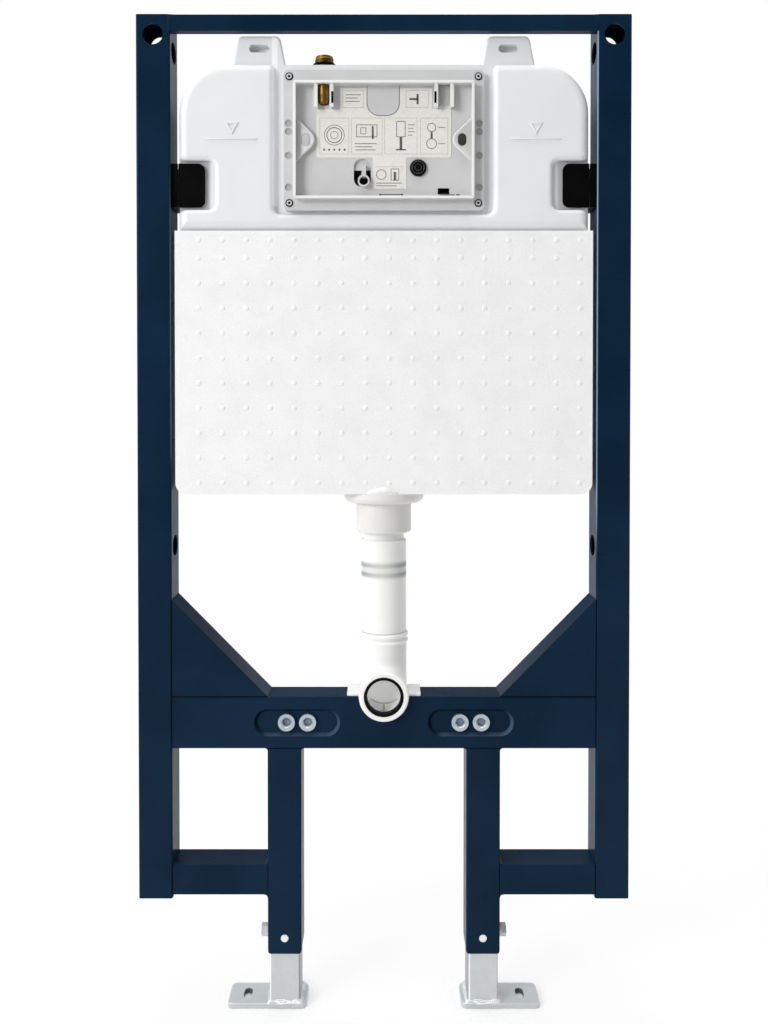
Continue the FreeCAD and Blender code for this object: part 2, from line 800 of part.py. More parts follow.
def instruction_sheet():
    """Bare card on the cover plate, with a head, a tab and a cut-out round the tongue."""
    y_span = (cover_front - sheet_thickness, cover_front)
    top = window_top - sheet_upper_gap
    low = top - sheet_height
    shape = slab((-sheet_half_width, sheet_half_width), y_span, (low, top), sheet_corner, sheet_corner)
    head = block(sheet_head_x, y_span, (low, top + sheet_head_rise))
    tab = block(sheet_tab_x, y_span, (low - sheet_tab_drop, top))
    cut_half = tongue_width / 2 + sheet_clearance
    notch = slab((tongue_centre_x - cut_half, tongue_centre_x + cut_half), past(y_span[0], y_span[1]),
                 (window_top - tongue_height - sheet_clearance, window_top),
                 0, tongue_round + sheet_clearance)
    return shape.fuse([head, tab]).cut(notch).removeSplitter()


def flush_rod_guide():
    """Ring over the lower end of the rod slot, held by a rib from a pad behind the slot's upper end."""
    y_span = (cover_front - rod_guide_length, cover_front)
    ring = rod_y(rod_guide_radius, rod_guide_x, rod_guide_level, y_span)
    pad_half = rod_slot_width / 2 + rod_pad_margin
    pad_low = rod_slot_top - rod_pad_height
    pad = block((rod_slot_x - pad_half, rod_slot_x + pad_half), (cover_back, cover_back + rod_pad_thickness),
                (pad_low, rod_slot_top + rod_pad_margin))
    rib = block((rod_guide_x - rod_rib_width / 2, rod_guide_x + rod_rib_width / 2),
                (cover_front - rod_rib_proud, cover_back + rod_pad_thickness),
                (rod_guide_level, pad_low + rod_rib_width))
    bore = rod_y(rod_guide_bore, rod_guide_x, rod_guide_level,
                 past(y_span[0], cover_back + rod_pad_thickness))
    return ring.fuse([pad, rib]).cut(bore).removeSplitter()


def rubber_plug():
    """Round blanking plug on the cover plate."""
    level = window_bottom + plug_above_floor
    shape = rod_y(plug_radius, plug_x, level, (cover_front - plug_thickness, cover_front))
    return shape.makeChamfer(plug_chamfer, edges_at_y(shape, cover_front - plug_thickness))


def left_tank_bracket():
    """Angle bracket: one wing on the post's inner side, one on the cistern, joined by a neck."""
    z_span = (bracket_level - bracket_height / 2, bracket_level + bracket_height / 2)
    recess_floor = tank_front + bracket_recess_depth
    y_span = (recess_floor - bracket_thickness, recess_floor)
    wing = slab((-post_inner, -post_inner + bracket_front_reach), y_span, z_span,
                bracket_corner, bracket_corner)
    wing = wing.common(block((-post_inner, post_inner), y_span, z_span))
    square_end = block((-post_inner, -post_inner + bracket_corner), y_span, z_span)
    side = block((-post_inner, -post_inner + bracket_thickness),
                 (y_span[0], y_span[0] + bracket_side_depth), z_span)
    side = side.common(block((-post_inner, -tank_half_width), (front, 0), z_span))
    shape = wing.fuse([square_end, side])
    slit_x = (-post_inner + bracket_slit_from_post, -post_inner + bracket_slit_from_post + bracket_slit)
    for z_low, z_high in ((z_span[0] - cut_over, bracket_level - bracket_neck / 2),
                          (bracket_level + bracket_neck / 2, z_span[1] + cut_over)):
        shape = shape.cut(block(slit_x, past(y_span[0], y_span[1]), (z_low, z_high)))
    return shape.removeSplitter()


def outlet_nut():
    """Wide round nut under the jacket with a soft lower rim."""
    shape = rod_z(nut_radius, 0, pipe_behind_frame, (nut_bottom, nut_top))
    shape = shape.makeChamfer(nut_chamfer, edges_at_z(shape, nut_bottom))
    eased = edges_at_z(shape, nut_bottom) + edges_at_z(shape, nut_bottom + nut_chamfer)
    shape = shape.makeChamfer(nut_chamfer_ease, eased)
    return shape.cut(rod_z(collar_radius + collar_clearance, 0, pipe_behind_frame,
                           past(nut_bottom, nut_top)))


def outlet_collar():
    """Sleeve from the cistern's outlet down to the flush pipe's neck."""
    shape = rod_z(collar_radius, 0, pipe_behind_frame, (collar_bottom, skirt_bottom))
    shape = shape.makeChamfer(collar_chamfer, edges_at_z(shape, collar_bottom))
    return shape.cut(rod_z(pipe_neck_radius + collar_clearance, 0, pipe_behind_frame,
                           (collar_bottom - cut_over, skirt_bottom - pipe_neck_length)))


def flush_pipe():
    """Straight pipe with a narrower neck that enters the collar."""
    body = rod_z(pipe_radius, 0, pipe_behind_frame, (pipe_bottom, pipe_top))
    body = body.makeChamfer(pipe_chamfer, edges_at_z(body, pipe_bottom) + edges_at_z(body, pipe_top))
    neck = rod_z(pipe_neck_radius, 0, pipe_behind_frame, (pipe_top, collar_bottom + pipe_spigot_length))
    bore = rod_z(pipe_bore_radius, 0, pipe_behind_frame,
                 past(pipe_bottom, collar_bottom + pipe_spigot_length))
    return body.fuse(neck).cut(bore).removeSplitter()


def bend(radius):
    """Quarter turn of a round bar, from the upright pipe to the outlet's axis."""
    start = Vector(0, pipe_behind_frame, elbow_level + elbow_bend_radius)
    circle = Part.Wire(Part.Circle(start, Z_AXIS, radius).toShape())
    centre = start - Y_AXIS * elbow_bend_radius
    return Part.Face(circle).revolve(centre, -X_AXIS, 90)


def flush_elbow():
    """Moulded elbow with two beads at its top and a flanged mouth."""
    turn_y = pipe_behind_frame - elbow_bend_radius
    turn_z = elbow_level + elbow_bend_radius
    upright = rod_z(elbow_radius, 0, pipe_behind_frame, (turn_z, pipe_bottom))
    level = rod_y(elbow_radius, 0, elbow_level, (front - elbow_ring_gap, turn_y))
    ring = rod_y(elbow_ring_radius, 0, elbow_level, (elbow_mouth, front - elbow_ring_gap))
    ring = ring.makeChamfer(elbow_ring_chamfer, edges_at_y(ring, elbow_mouth))
    shape = bend(elbow_radius).fuse([upright, level, ring])
    for step in (0, 1):
        low = pipe_bottom - elbow_bead_height - step * elbow_bead_spacing
        bead = rod_z(elbow_bead_radius, 0, pipe_behind_frame, (low, low + elbow_bead_height))
        rims = edges_at_z(bead, low) + edges_at_z(bead, low + elbow_bead_height)
        shape = shape.fuse(bead.makeChamfer(elbow_bead_chamfer, rims))
    bore_up = rod_z(pipe_bore_radius, 0, pipe_behind_frame, (turn_z, pipe_bottom + cut_over))
    bore_out = rod_y(pipe_bore_radius, 0, elbow_level, (elbow_mouth - cut_over, turn_y))
    mouth = rod_y(seal_outer_radius, 0, elbow_level,
                  (elbow_mouth - cut_over, elbow_mouth + seal_setback + seal_length))
    for cutter in (bend(pipe_bore_radius), bore_up, bore_out, mouth):
        shape = shape.cut(cutter)
    return shape.removeSplitter()


def elbow_seal():
    """Rubber ring seated in the elbow's mouth."""
    y_span = (elbow_mouth + seal_setback, elbow_mouth + seal_setback + seal_length)
    shape = rod_y(seal_outer_radius, 0, elbow_level, y_span)
    return shape.cut(rod_y(seal_inner_radius, 0, elbow_level, past(y_span[0], y_span[1])))


def pipe_saddle():
    """Plastic saddle on the beam, with a cradle that lines the notch under the elbow."""
    half = saddle_width / 2
    y_span = (front + saddle_inset, -saddle_inset)
    plate = block((-half, half), y_span, (beam_top, beam_top + saddle_thickness))
    plate = round_along(plate, Z_AXIS, saddle_inset)
    cradle = rod_y(cradle_outer, 0, elbow_level, y_span)
    cradle = cradle.common(block((-half, half), y_span, (beam_bottom, beam_top + saddle_thickness)))
    shape = plate.fuse(cradle)
    shape = shape.cut(rod_y(cradle_inner, 0, elbow_level, past(front, 0)))
    return shape.removeSplitter()


def build_parts():
    """Every node of the part, by name."""
    parts = {
        "top_rail": top_rail(),
        "bolt_beam": bolt_beam(),
        "cistern_tank": cistern_tank(),
        "insulation_jacket": insulation_jacket(),
        "access_frame": access_frame(),
        "cover_plate": cover_plate(),
        "inlet_valve": inlet_valve(),
        "inlet_washer": inlet_washer(),
        "inlet_clip": pipe_clip(-pipe_gap_x),
        "spare_clip": pipe_clip(pipe_gap_x),
        "instruction_sheet": instruction_sheet(),
        "flush_rod_guide": flush_rod_guide(),
        "rubber_plug": rubber_plug(),
        "outlet_nut": outlet_nut(),
        "outlet_collar": outlet_collar(),
        "flush_pipe": flush_pipe(),
        "flush_elbow": flush_elbow(),
        "elbow_seal": elbow_seal(),
        "pipe_saddle": pipe_saddle(),
    }
    paired = {
        "post": left_post,
        "gusset": left_gusset,
        "leg": left_leg,
        "lower_rail": left_lower_rail,
        "bolt_inserts": left_bolt_inserts,
        "clamp_bolt": left_clamp_bolt,
        "foot_tube": left_foot_tube,
        "foot_plate": left_foot_plate,
        "tank_bracket": left_tank_bracket,
    }
    for name, make in paired.items():
        shape = make()
        parts["left_" + name] = shape
        parts["right_" + name] = mirrored(shape)
    return parts


def main():
    """Writes one file for each node."""
    os.makedirs("parts", exist_ok=True)
    for name, shape in build_parts().items():
        shape.exportStep(os.path.join("parts", name + ".step"))
        valid = shape.isValid()
        print(name, "solids", len(shape.Solids), "valid", valid, "volume", round(shape.Volume))


main()
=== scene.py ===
"""Looks of the wall hung toilet frame: its finishes, small fittings and studio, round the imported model."""
import json
import logging
import math
from dataclasses import dataclass
from enum import Enum
from typing import Callable, Iterable, Optional, Union

import bpy
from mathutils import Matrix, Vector


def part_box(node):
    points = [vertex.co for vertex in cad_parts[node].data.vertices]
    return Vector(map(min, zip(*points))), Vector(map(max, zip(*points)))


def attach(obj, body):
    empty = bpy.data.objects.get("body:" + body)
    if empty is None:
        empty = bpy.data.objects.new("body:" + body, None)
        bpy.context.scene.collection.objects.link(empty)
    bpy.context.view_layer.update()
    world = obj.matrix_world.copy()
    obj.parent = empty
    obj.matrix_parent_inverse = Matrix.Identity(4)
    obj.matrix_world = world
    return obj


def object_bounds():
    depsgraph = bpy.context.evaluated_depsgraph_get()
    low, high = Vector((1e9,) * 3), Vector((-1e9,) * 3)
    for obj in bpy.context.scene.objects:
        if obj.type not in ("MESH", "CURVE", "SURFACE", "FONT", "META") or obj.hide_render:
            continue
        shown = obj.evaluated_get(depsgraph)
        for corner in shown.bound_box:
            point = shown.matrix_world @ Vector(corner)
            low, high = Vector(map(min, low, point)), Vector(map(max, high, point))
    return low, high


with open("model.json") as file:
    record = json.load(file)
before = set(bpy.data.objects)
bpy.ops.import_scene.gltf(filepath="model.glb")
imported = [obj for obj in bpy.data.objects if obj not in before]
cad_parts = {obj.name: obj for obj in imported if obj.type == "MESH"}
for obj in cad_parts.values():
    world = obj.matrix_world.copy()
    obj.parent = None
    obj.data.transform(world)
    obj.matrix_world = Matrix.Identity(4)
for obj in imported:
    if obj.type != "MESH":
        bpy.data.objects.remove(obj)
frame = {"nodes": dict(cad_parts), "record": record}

CAD_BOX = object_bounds()
LOG = logging.getLogger("toilet_frame")
SIDES = (("left", -1), ("right", 1))
SQUARE_ON = 0.9
SAME_SPOT = 1e-5

Colour = tuple[float, float, float]
Pair = tuple[float, float]
Point = tuple[float, float, float]
Rows = tuple[tuple[float, ...], ...]
Piece = bpy.types.Object
Material = bpy.types.Material
FaceTest = Callable[[Vector, Vector], bool]
EdgeTest = Callable[[Vector], bool]


def linear(colour: Colour) -> tuple[float, float, float, float]:
    """Turns a screen colour into the renderer's linear one.

    Args:
        colour: red, green and blue from 0 to 255, as they look on a screen.

    Returns:
        Linear red, green, blue and a full alpha.
    """
    shares = [value / 255 for value in colour]
    straight = [share / 12.92 if share <= 0.04045 else ((share + 0.055) / 1.055) ** 2.4 for share in shares]
    return straight[0], straight[1], straight[2], 1.0


def looks_forward(spot: Vector, normal: Vector) -> bool:
    """True for a face that looks to the front."""
    return normal.y < -SQUARE_ON


class Axis(Enum):
    """Direction of a round primitive, as the turn that lays its own Z axis there."""

    ALONG_Y = (math.pi / 2, 0.0, 0.0)
    ALONG_Z = (0.0, 0.0, 0.0)


class Slot(Enum):
    """Material slots of the record."""

    PAINT = "frame_paint"
    ZINC = "zinc_insert"
    GALVANISED = "galvanised_foot"
    CISTERN = "cistern_plastic"
    FOAM = "jacket_foam"
    BOX = "box_plastic"
    BRASS = "inlet_brass"
    RUBBER = "black_rubber"
    CARD = "card"
    BRACKET = "bracket_black"
    PIPE = "pipe_plastic"


def operator(kind: str, swapped: bool = False) -> Callable[..., "Socket"]:
    """Makes an operator of Socket from a Math node.

    Args:
        kind: the Math node's operation.
        swapped: True where the socket stands on the right.

    Returns:
        The method.
    """
    def apply(self: "Socket", other: "Value" = 0.0) -> "Socket":
        """Adds the Math node."""
        values = (other, self) if swapped else (self, other)
        return self.graph.node("ShaderNodeMath", {"operation": kind}, dict(enumerate(values)))

    return apply


class Socket:
    """An output of a node that can be used in sums, with numbers on either side."""

    __add__ = operator("ADD")
    __radd__ = operator("ADD", True)
    __sub__ = operator("SUBTRACT")
    __rsub__ = operator("SUBTRACT", True)
    __mul__ = operator("MULTIPLY")
    __rmul__ = operator("MULTIPLY", True)
    at_most = operator("MINIMUM")
    at_least = operator("MAXIMUM")
    size = operator("ABSOLUTE")
    sign = operator("SIGN")
    root = operator("SQRT")

    def __init__(self, graph: "Graph", output: bpy.types.NodeSocket) -> None:
        """Keeps the graph that new Math nodes go to, and the output itself."""
        self.graph = graph
        self.output = output


Value = Union[Socket, float, int, tuple]
Tints = list[tuple[Socket, Colour]]


class Graph:
    """Node tree of one material or of the world."""

    def __init__(self, tree: bpy.types.NodeTree) -> None:
        """Empties the tree."""
        self.tree = tree
        tree.nodes.clear()

    def node(self, kind: str, settings: Optional[dict] = None, sockets: Optional[dict] = None,
             result: Union[int, str] = 0) -> Socket:
        """Adds a node.

        Args:
            kind: the node's type.
            settings: its own properties, set first.
            sockets: values or links of its inputs, by name or number.
            result: name or number of the output that is wanted.

        Returns:
            That output.
        """
        node = self.tree.nodes.new(kind)
        for key, setting in (settings or {}).items():
            setattr(node, key, setting)
        for key, value in (sockets or {}).items():
            if isinstance(value, Socket):
                self.tree.links.new(value.output, node.inputs[key])
            else:
                node.inputs[key].default_value = value
        return Socket(self, node.outputs[result] if len(node.outputs) else None)

    def places(self) -> Socket:
        """Object coordinates."""
        return self.node("ShaderNodeTexCoord", None, None, "Object")

    def split(self) -> tuple[Socket, Socket, Socket]:
        """Place of the point across, along and up."""
        return tuple(self.node("ShaderNodeSeparateXYZ", None, {0: self.places()}, name) for name in "XYZ")

    def noise(self, scale: float, detail: float = 2.0, stretch: Optional[Point] = None) -> Socket:
        """Soft noise.

        Args:
            scale: patches to a metre.
            detail: octaves.
            stretch: scale along each axis, or None for even noise.

        Returns:
            Its factor, about 0.3 to 0.7.
        """
        vector = self.places()
        if stretch:
            vector = self.node("ShaderNodeMapping", None, {"Vector": vector, "Scale": stretch})
        sockets = {"Vector": vector, "Scale": scale, "Detail": detail}
        return self.node("ShaderNodeTexNoise", None, sockets, "Fac")

    def cells(self, scale: float, feature: str = "F1", result: str = "Distance") -> Socket:
        """Rounded cells.

        Args:
            scale: cells to a metre.
            feature: the Voronoi node's feature.
            result: the output that is wanted.

        Returns:
            That output.
        """
        return self.node("ShaderNodeTexVoronoi", {"feature": feature},
                         {"Vector": self.places(), "Scale": scale}, result)

    def spread(self, factor: Socket, low: float, high: float) -> Socket:
        """Stretches a factor so that low becomes 0 and high becomes 1, and clamps it."""
        return self.node("ShaderNodeMapRange", {"clamp": True},
                         {"Value": factor, "From Min": low, "From Max": high})

    def ease(self, factor: Socket, low: float, high: float) -> Socket:
        """Stretches a factor as spread does, with soft ends."""
        return self.node("ShaderNodeMapRange", {"interpolation_type": "SMOOTHSTEP"},
                         {"Value": factor, "From Min": low, "From Max": high})

    def until(self, factor: Socket, low: float, high: float) -> Socket:
        """One up to low and nought from high on, with soft ends."""
        return 1 - self.ease(factor, low, high)

    def near(self, factor: Socket, middle: float, core: float, edge: float) -> Socket:
        """One within the core on both sides of a middle value, and nought from the edge on."""
        return self.until((factor - middle).size(), core, edge)

    def blend(self, factor: Socket, first: Value, second: Value) -> Socket:
        """Mixes two colours.

        Args:
            factor: share of the second.
            first: link, screen colour of three numbers or linear colour of four.
            second: the same.

        Returns:
            The mixed colour.
        """
        ends = [linear(end) if isinstance(end, tuple) and len(end) == 3 else end for end in (first, second)]
        return self.node("ShaderNodeMix", {"data_type": "RGBA"}, {0: factor, 6: ends[0], 7: ends[1]}, 2)

    def bump(self, height: Socket, strength: float, depth: float, below: Optional[Socket] = None) -> Socket:
        """Turns a height into a surface normal.

        Args:
            height: the relief, 0 to 1.
            strength: share of it that shows.
            depth: its real depth in metres.
            below: another bump's normal to lie on.

        Returns:
            The normal.
        """
        sockets = {"Height": height, "Strength": strength, "Distance": depth}
        if below:
            sockets["Normal"] = below
        return self.node("ShaderNodeBump", None, sockets)


@dataclass(frozen=True)
class Finish:
    """A surface: its record slot, colour and gloss."""

    slot: Slot
    colour: Colour
    roughness: float
    metal: float = 0.0
    gloss: float = 0.5
    glow_depth: float = 0.0

    def surface(self, graph: Graph) -> dict:
        """Sockets of the shader that change over the surface; a finish with detail overrides it."""
        return {}

    def tints(self, graph: Graph) -> Tints:
        """Shares of the surface with a colour of their own, in order; a finish that has any overrides it."""
        return []

    def material(self) -> Material:
        """Builds the material.

        Returns:
            The finished material, named for the slot.
        """
        material = bpy.data.materials.new(self.slot.value)
        material.use_nodes = True
        graph = Graph(material.node_tree)
        sockets = {"Base Color": linear(self.colour), "Roughness": self.roughness, "Metallic": self.metal,
                   "Specular IOR Level": self.gloss}
        if self.glow_depth:
            sockets["Subsurface Weight"] = 1.0
            sockets["Subsurface Radius"] = (self.glow_depth, self.glow_depth, self.glow_depth)
            sockets["Subsurface Scale"] = 1.0
        sockets.update(self.surface(graph))
        for share, colour in self.tints(graph):
            sockets["Base Color"] = graph.blend(share, sockets["Base Color"], colour)
        shader = graph.node("ShaderNodeBsdfPrincipled", None, sockets)
        graph.node("ShaderNodeOutputMaterial", None, {"Surface": shader})
        return material


@dataclass(frozen=True)
class PowderCoat(Finish):
    """Dark blue satin powder coat with a fine orange peel."""

    deep: Colour = (12, 33, 53)
    peel_scale: float = 1100.0
    peel_depth: float = 0.00006

    def surface(self, graph: Graph) -> dict:
        """Colour that drifts a little, uneven gloss and orange peel.

        Args:
            graph: the material's graph.

        Returns:
            The shader's sockets that it feeds.
        """
        drift = graph.spread(graph.noise(9.0, 3.0), 0.35, 0.65)
        return {
            "Base Color": graph.blend(drift, self.colour, self.deep),
            "Roughness": self.roughness + 0.12 * (graph.noise(60.0) - 0.5),
            "Normal": graph.bump(graph.noise(self.peel_scale, 1.0), 0.35, self.peel_depth),
        }


@dataclass(frozen=True)
class EdgeCoat(PowderCoat):
    """Powder coat on a post, with a painted highlight along its inner front edge over part of its height."""

    # Colour of the painted highlight on the post's inner front edge.
    line: Colour = (125, 148, 170)
    edge_x: float = 0.25
    width: float = 0.0013
    back: float = -0.0370
    blur: float = 0.0008
    rise: Pair = (0.2, 0.3)
    fall: Pair = (0.9, 1.0)

    def tints(self, graph: Graph) -> Tints:
        """The painted highlight on the edge.

        Args:
            graph: the material's graph.

        Returns:
            A share and a colour for each.
        """
        across, along, height = graph.split()
        strip = graph.near(across, self.edge_x, self.width * 0.5, self.width)
        front = graph.until(along, self.back - self.blur, self.back)
        reach = graph.ease(height, *self.rise) * graph.until(height, *self.fall)
        return [(strip * front * reach, self.line)]


@dataclass(frozen=True)
class PressedCoat(PowderCoat):
    """Powder coat on the beam, with painted light on its recesses' walls low down and on the right, and
    painted shade opposite.
    """

    # Colours of the painted light and the painted shade on the recess walls.
    lit: Colour = (60, 79, 100)
    shaded: Colour = (7, 17, 27)
    recess_x: float = 0.1025
    level: float = 0.015
    straight_half: float = 0.0345
    wall_reach: Pair = (0.0128, 0.0162)
    wall_back: float = -0.034
    blur: float = 0.0004
    from_left: float = 1.1
    from_above: float = 0.5

    def tints(self, graph: Graph) -> Tints:
        """The painted light and the painted shade on the walls.

        Args:
            graph: the material's graph.

        Returns:
            A share and a colour for each.
        """
        across, along, height = graph.split()
        middle = across - self.recess_x * across.sign()
        end = middle - middle.at_most(self.straight_half).at_least(-self.straight_half)
        rise = height - self.level
        reach = (end * end + rise * rise).root()
        inner, outer = (graph.ease(reach, edge - self.blur, edge + self.blur) for edge in self.wall_reach)
        front = graph.until(along, self.wall_back - self.blur, self.wall_back)
        slope = (self.from_left * end - self.from_above * rise) * (1 / self.wall_reach[1])
        facing = slope * (inner - outer) * front
        return [(facing.at_least(0.0), self.lit), ((0 - facing).at_least(0.0), self.shaded)]


@dataclass(frozen=True)
class ZincCoat(Finish):
    """Bright or hot dip zinc, with spangles and a faint drawn grain."""

    dull: Colour = (168, 171, 176)
    spangle_scale: float = 220.0
    grain: Point = (900.0, 900.0, 40.0)
    grain_share: float = 0.25

    def surface(self, graph: Graph) -> dict:
        """Spangles in the colour and the gloss, and a fine grain.

        Args:
            graph: the material's graph.

        Returns:
            The shader's sockets that it feeds.
        """
        spangle = graph.cells(self.spangle_scale, "F1", "Color")
        share = graph.node("ShaderNodeSeparateColor", None, {0: spangle}, "Red")
        stain = graph.spread(graph.noise(35.0, 4.0), 0.4, 0.75)
        return {
            "Base Color": graph.blend(0.12 * share + 0.18 * stain, self.colour, self.dull),
            "Roughness": self.roughness + 0.12 * (share - 0.5) + 0.08 * (stain - 0.5),
            "Normal": graph.bump(graph.noise(1.0, 3.0, self.grain), self.grain_share, 0.00008),
        }


@dataclass(frozen=True)
class TubeZinc(ZincCoat):
    """Zinc on a square tube, with a painted highlight along one front edge and painted shade on one side."""

    # Colours of the painted highlight on the edge and the painted shade on the side.
    bright: Colour = (252, 253, 254)
    shaded: Colour = (152, 155, 157)
    line_x: float = 0.0
    line_half: float = 0.0011
    shade_x: float = 0.0
    shade_way: int = 1
    blur: float = 0.0008

    def tints(self, graph: Graph) -> Tints:
        """The painted highlight on the edge and the painted shade on the side.

        Args:
            graph: the material's graph.

        Returns:
            A share and a colour for each.
        """
        across = graph.split()[0]
        line = graph.near(across, self.line_x, self.line_half - self.blur, self.line_half)
        shade = graph.ease(self.shade_way * (across - self.shade_x), 0.0, self.blur)
        return [(line, self.bright), (shade, self.shaded)]


@dataclass(frozen=True)
class BlowMoulding(Finish):
    """White blow moulded plastic, wavy and faintly pitted, with painted shade in the recesses round the
    brackets and painted light on the bay's left wall.
    """

    shade: Colour = (222, 223, 226)
    # Colours of the painted shade in the bracket recesses and of the painted light on the bay's left wall.
    recess: Colour = (178, 179, 181)
    wall: Colour = (252, 252, 253)
    front: float = -0.039
    bracket_x: float = 0.2
    bracket_span: Pair = (0.63, 0.68)
    bracket_reach: Pair = (0.0025, 0.0075)
    recess_start: Pair = (0.0015, 0.0060)
    recess_depth: Pair = (0.010, 0.014)
    wall_x: float = -0.1286
    wall_half: float = 0.0045
    wall_low: float = 0.622
    wall_start: Pair = (0.0, 0.002)
    wall_depth: Pair = (0.030, 0.036)

    def surface(self, graph: Graph) -> dict:
        """Slow waves, fine pitting and a slight change of tone.

        Args:
            graph: the material's graph.

        Returns:
            The shader's sockets that it feeds.
        """
        tone = graph.spread(graph.noise(12.0, 2.0), 0.35, 0.7)
        waves = graph.bump(graph.noise(22.0, 1.0), 0.25, 0.0012)
        return {
            "Base Color": graph.blend(tone, self.colour, self.shade),
            "Roughness": self.roughness + 0.14 * (graph.noise(90.0, 3.0) - 0.5),
            "Normal": graph.bump(graph.noise(700.0, 2.0), 0.2, 0.00005, waves),
        }

    def tints(self, graph: Graph) -> Tints:
        """The painted light on the bay's left wall and the painted shade in the recesses near the brackets.

        Args:
            graph: the material's graph.

        Returns:
            A share and a colour for each.
        """
        across, along, height = graph.split()
        depth = along - self.front
        strip = graph.near(across, self.wall_x, self.wall_half * 0.5, self.wall_half)
        side = graph.ease(depth, *self.wall_start) * graph.until(depth, *self.wall_depth)
        above_rim = graph.ease(height, self.wall_low, self.wall_low + self.wall_half)
        deep = graph.ease(depth, *self.recess_start) * graph.until(depth, *self.recess_depth)
        low, high = self.bracket_span
        aside = (self.bracket_x - across.size()).at_least(0.0)
        above = (low - height).at_least(height - high).at_least(0.0)
        near, far = self.bracket_reach
        shade = graph.until(aside * aside + above * above, near * near, far * far)
        return [(strip * side * above_rim, self.wall), (shade * deep, self.recess)]


@dataclass(frozen=True)
class BeadFoam(Finish):
    """Expanded bead foam: pressed beads that meet in fine grooves, with uneven patches."""

    groove: Colour = (226, 226, 227)
    bead_scale: float = 240.0

    def surface(self, graph: Graph) -> dict:
        """Bead outlines in the colour and the relief, over slow patches.

        Args:
            graph: the material's graph.

        Returns:
            The shader's sockets that it feeds.
        """
        edge = graph.cells(self.bead_scale, "DISTANCE_TO_EDGE")
        line = 1 - graph.spread(edge, 0.0, 0.09)
        patch = graph.spread(graph.noise(26.0, 3.0), 0.4, 0.7)
        dents = graph.bump(graph.noise(45.0, 2.0), 0.16, 0.0012)
        return {
            "Base Color": graph.blend(0.35 * line + 0.3 * patch, self.colour, self.groove),
            "Roughness": self.roughness + 0.1 * patch,
            "Normal": graph.bump(graph.spread(edge, 0.0, 0.2), 0.25, 0.0002, dents),
        }


@dataclass(frozen=True)
class Moulding(Finish):
    """Injection moulded plastic or rubber with a fine spark eroded grain."""

    shade: Colour = (200, 200, 203)
    grain_scale: float = 1500.0
    grain_depth: float = 0.00004

    def surface(self, graph: Graph) -> dict:
        """A fine grain and a slow drift of tone and gloss.

        Args:
            graph: the material's graph.

        Returns:
            The shader's sockets that it feeds.
        """
        tone = graph.spread(graph.noise(30.0, 3.0), 0.35, 0.7)
        return {
            "Base Color": graph.blend(0.6 * tone, self.colour, self.shade),
            "Roughness": self.roughness + 0.12 * (tone - 0.5),
            "Normal": graph.bump(graph.noise(self.grain_scale, 1.0), 0.3, self.grain_depth),
        }


@dataclass(frozen=True)
class FlushPlastic(Finish):
    """White pipe plastic; two rubber rings behind the thin wall show through as soft grey bands, and the
    inside of the elbow glows with painted light.
    """

    band: Colour = (118, 122, 126)
    band_levels: Pair = (0.1971, 0.1861)
    band_half: float = 0.0064
    haze_half: float = 0.0135
    pipe_radius: float = 0.0274
    elbow_level: float = 0.0475
    elbow_bore: float = 0.0232
    bend_centre: Pair = (-0.034, 0.0835)
    bend_bore: float = 0.0605
    deep_part: Pair = (-0.04, -0.005)
    # Strength of the painted light inside the elbow.
    glow: float = 0.22

    def elbow_glow(self, graph: Graph) -> Socket:
        """Painted light: a glow inside the elbow only, standing in for light that comes through the thin
        wall.

        Args:
            graph: the material's graph.

        Returns:
            A colour for the shader's emission.
        """
        across, along, height = graph.split()
        rise = height - self.elbow_level
        bore = graph.until(across * across + rise * rise, (self.elbow_bore - 0.001) ** 2,
                           (self.elbow_bore + 0.0005) ** 2)
        back = along - self.bend_centre[0]
        drop = height - self.bend_centre[1]
        inside = graph.until(back * back + drop * drop, (self.bend_bore - 0.001) ** 2,
                             (self.bend_bore + 0.001) ** 2)
        share = bore * inside * graph.ease(along, *self.deep_part)
        return graph.blend(share, (0.0, 0.0, 0.0, 1.0), (self.glow, self.glow, self.glow * 0.98, 1.0))

    def surface(self, graph: Graph) -> dict:
        """Soft bands at the rings' heights, darker where the wall turns away, and fine drawing lines.

        Args:
            graph: the material's graph.

        Returns:
            The shader's sockets that it feeds.
        """
        across, _, height = graph.split()
        mask = 0.4 * graph.near(height, sum(self.band_levels) / 2, 0.0, self.haze_half)
        for level in self.band_levels:
            mask = mask.at_least(graph.near(height, level, 0.0, self.band_half))
        turn = graph.spread(across.size(), 0.0, self.pipe_radius)
        lines = graph.noise(1.0, 2.0, (700.0, 700.0, 12.0))
        return {
            "Base Color": graph.blend(mask * (0.4 + 0.5 * turn * turn), self.colour, self.band),
            "Roughness": self.roughness + 0.12 * (graph.noise(45.0, 3.0) - 0.5),
            "Emission Color": self.elbow_glow(graph),
            "Emission Strength": 1.0,
            "Normal": graph.bump(lines, 0.12, 0.00008),
        }


@dataclass(frozen=True)
class TurnedBrass(Finish):
    """Turned brass with fine lathe rings and brown tarnish."""

    tarnish: Colour = (86, 63, 24)
    ring_scale: float = 2600.0

    def surface(self, graph: Graph) -> dict:
        """Rings in the relief and patches of tarnish.

        Args:
            graph: the material's graph.

        Returns:
            The shader's sockets that it feeds.
        """
        patch = graph.spread(graph.noise(120.0, 4.0), 0.42, 0.66)
        return {
            "Base Color": graph.blend(patch, self.colour, self.tarnish),
            "Roughness": self.roughness + 0.2 * patch,
            "Normal": graph.bump(graph.noise(1.0, 1.0, (20.0, 20.0, self.ring_scale)), 0.25, 0.00006),
        }


@dataclass(frozen=True)
class Paper(Finish):
    """Uncoated card with fibres."""

    fibre: Colour = (214, 212, 205)

    def surface(self, graph: Graph) -> dict:
        """Fibres in the colour and the relief.

        Args:
            graph: the material's graph.

        Returns:
            The shader's sockets that it feeds.
        """
        fibres = graph.noise(1.0, 3.0, (260.0, 260.0, 900.0))
        return {
            "Base Color": graph.blend(graph.spread(fibres, 0.45, 0.8), self.colour, self.fibre),
            "Normal": graph.bump(fibres, 0.2, 0.00005),
        }


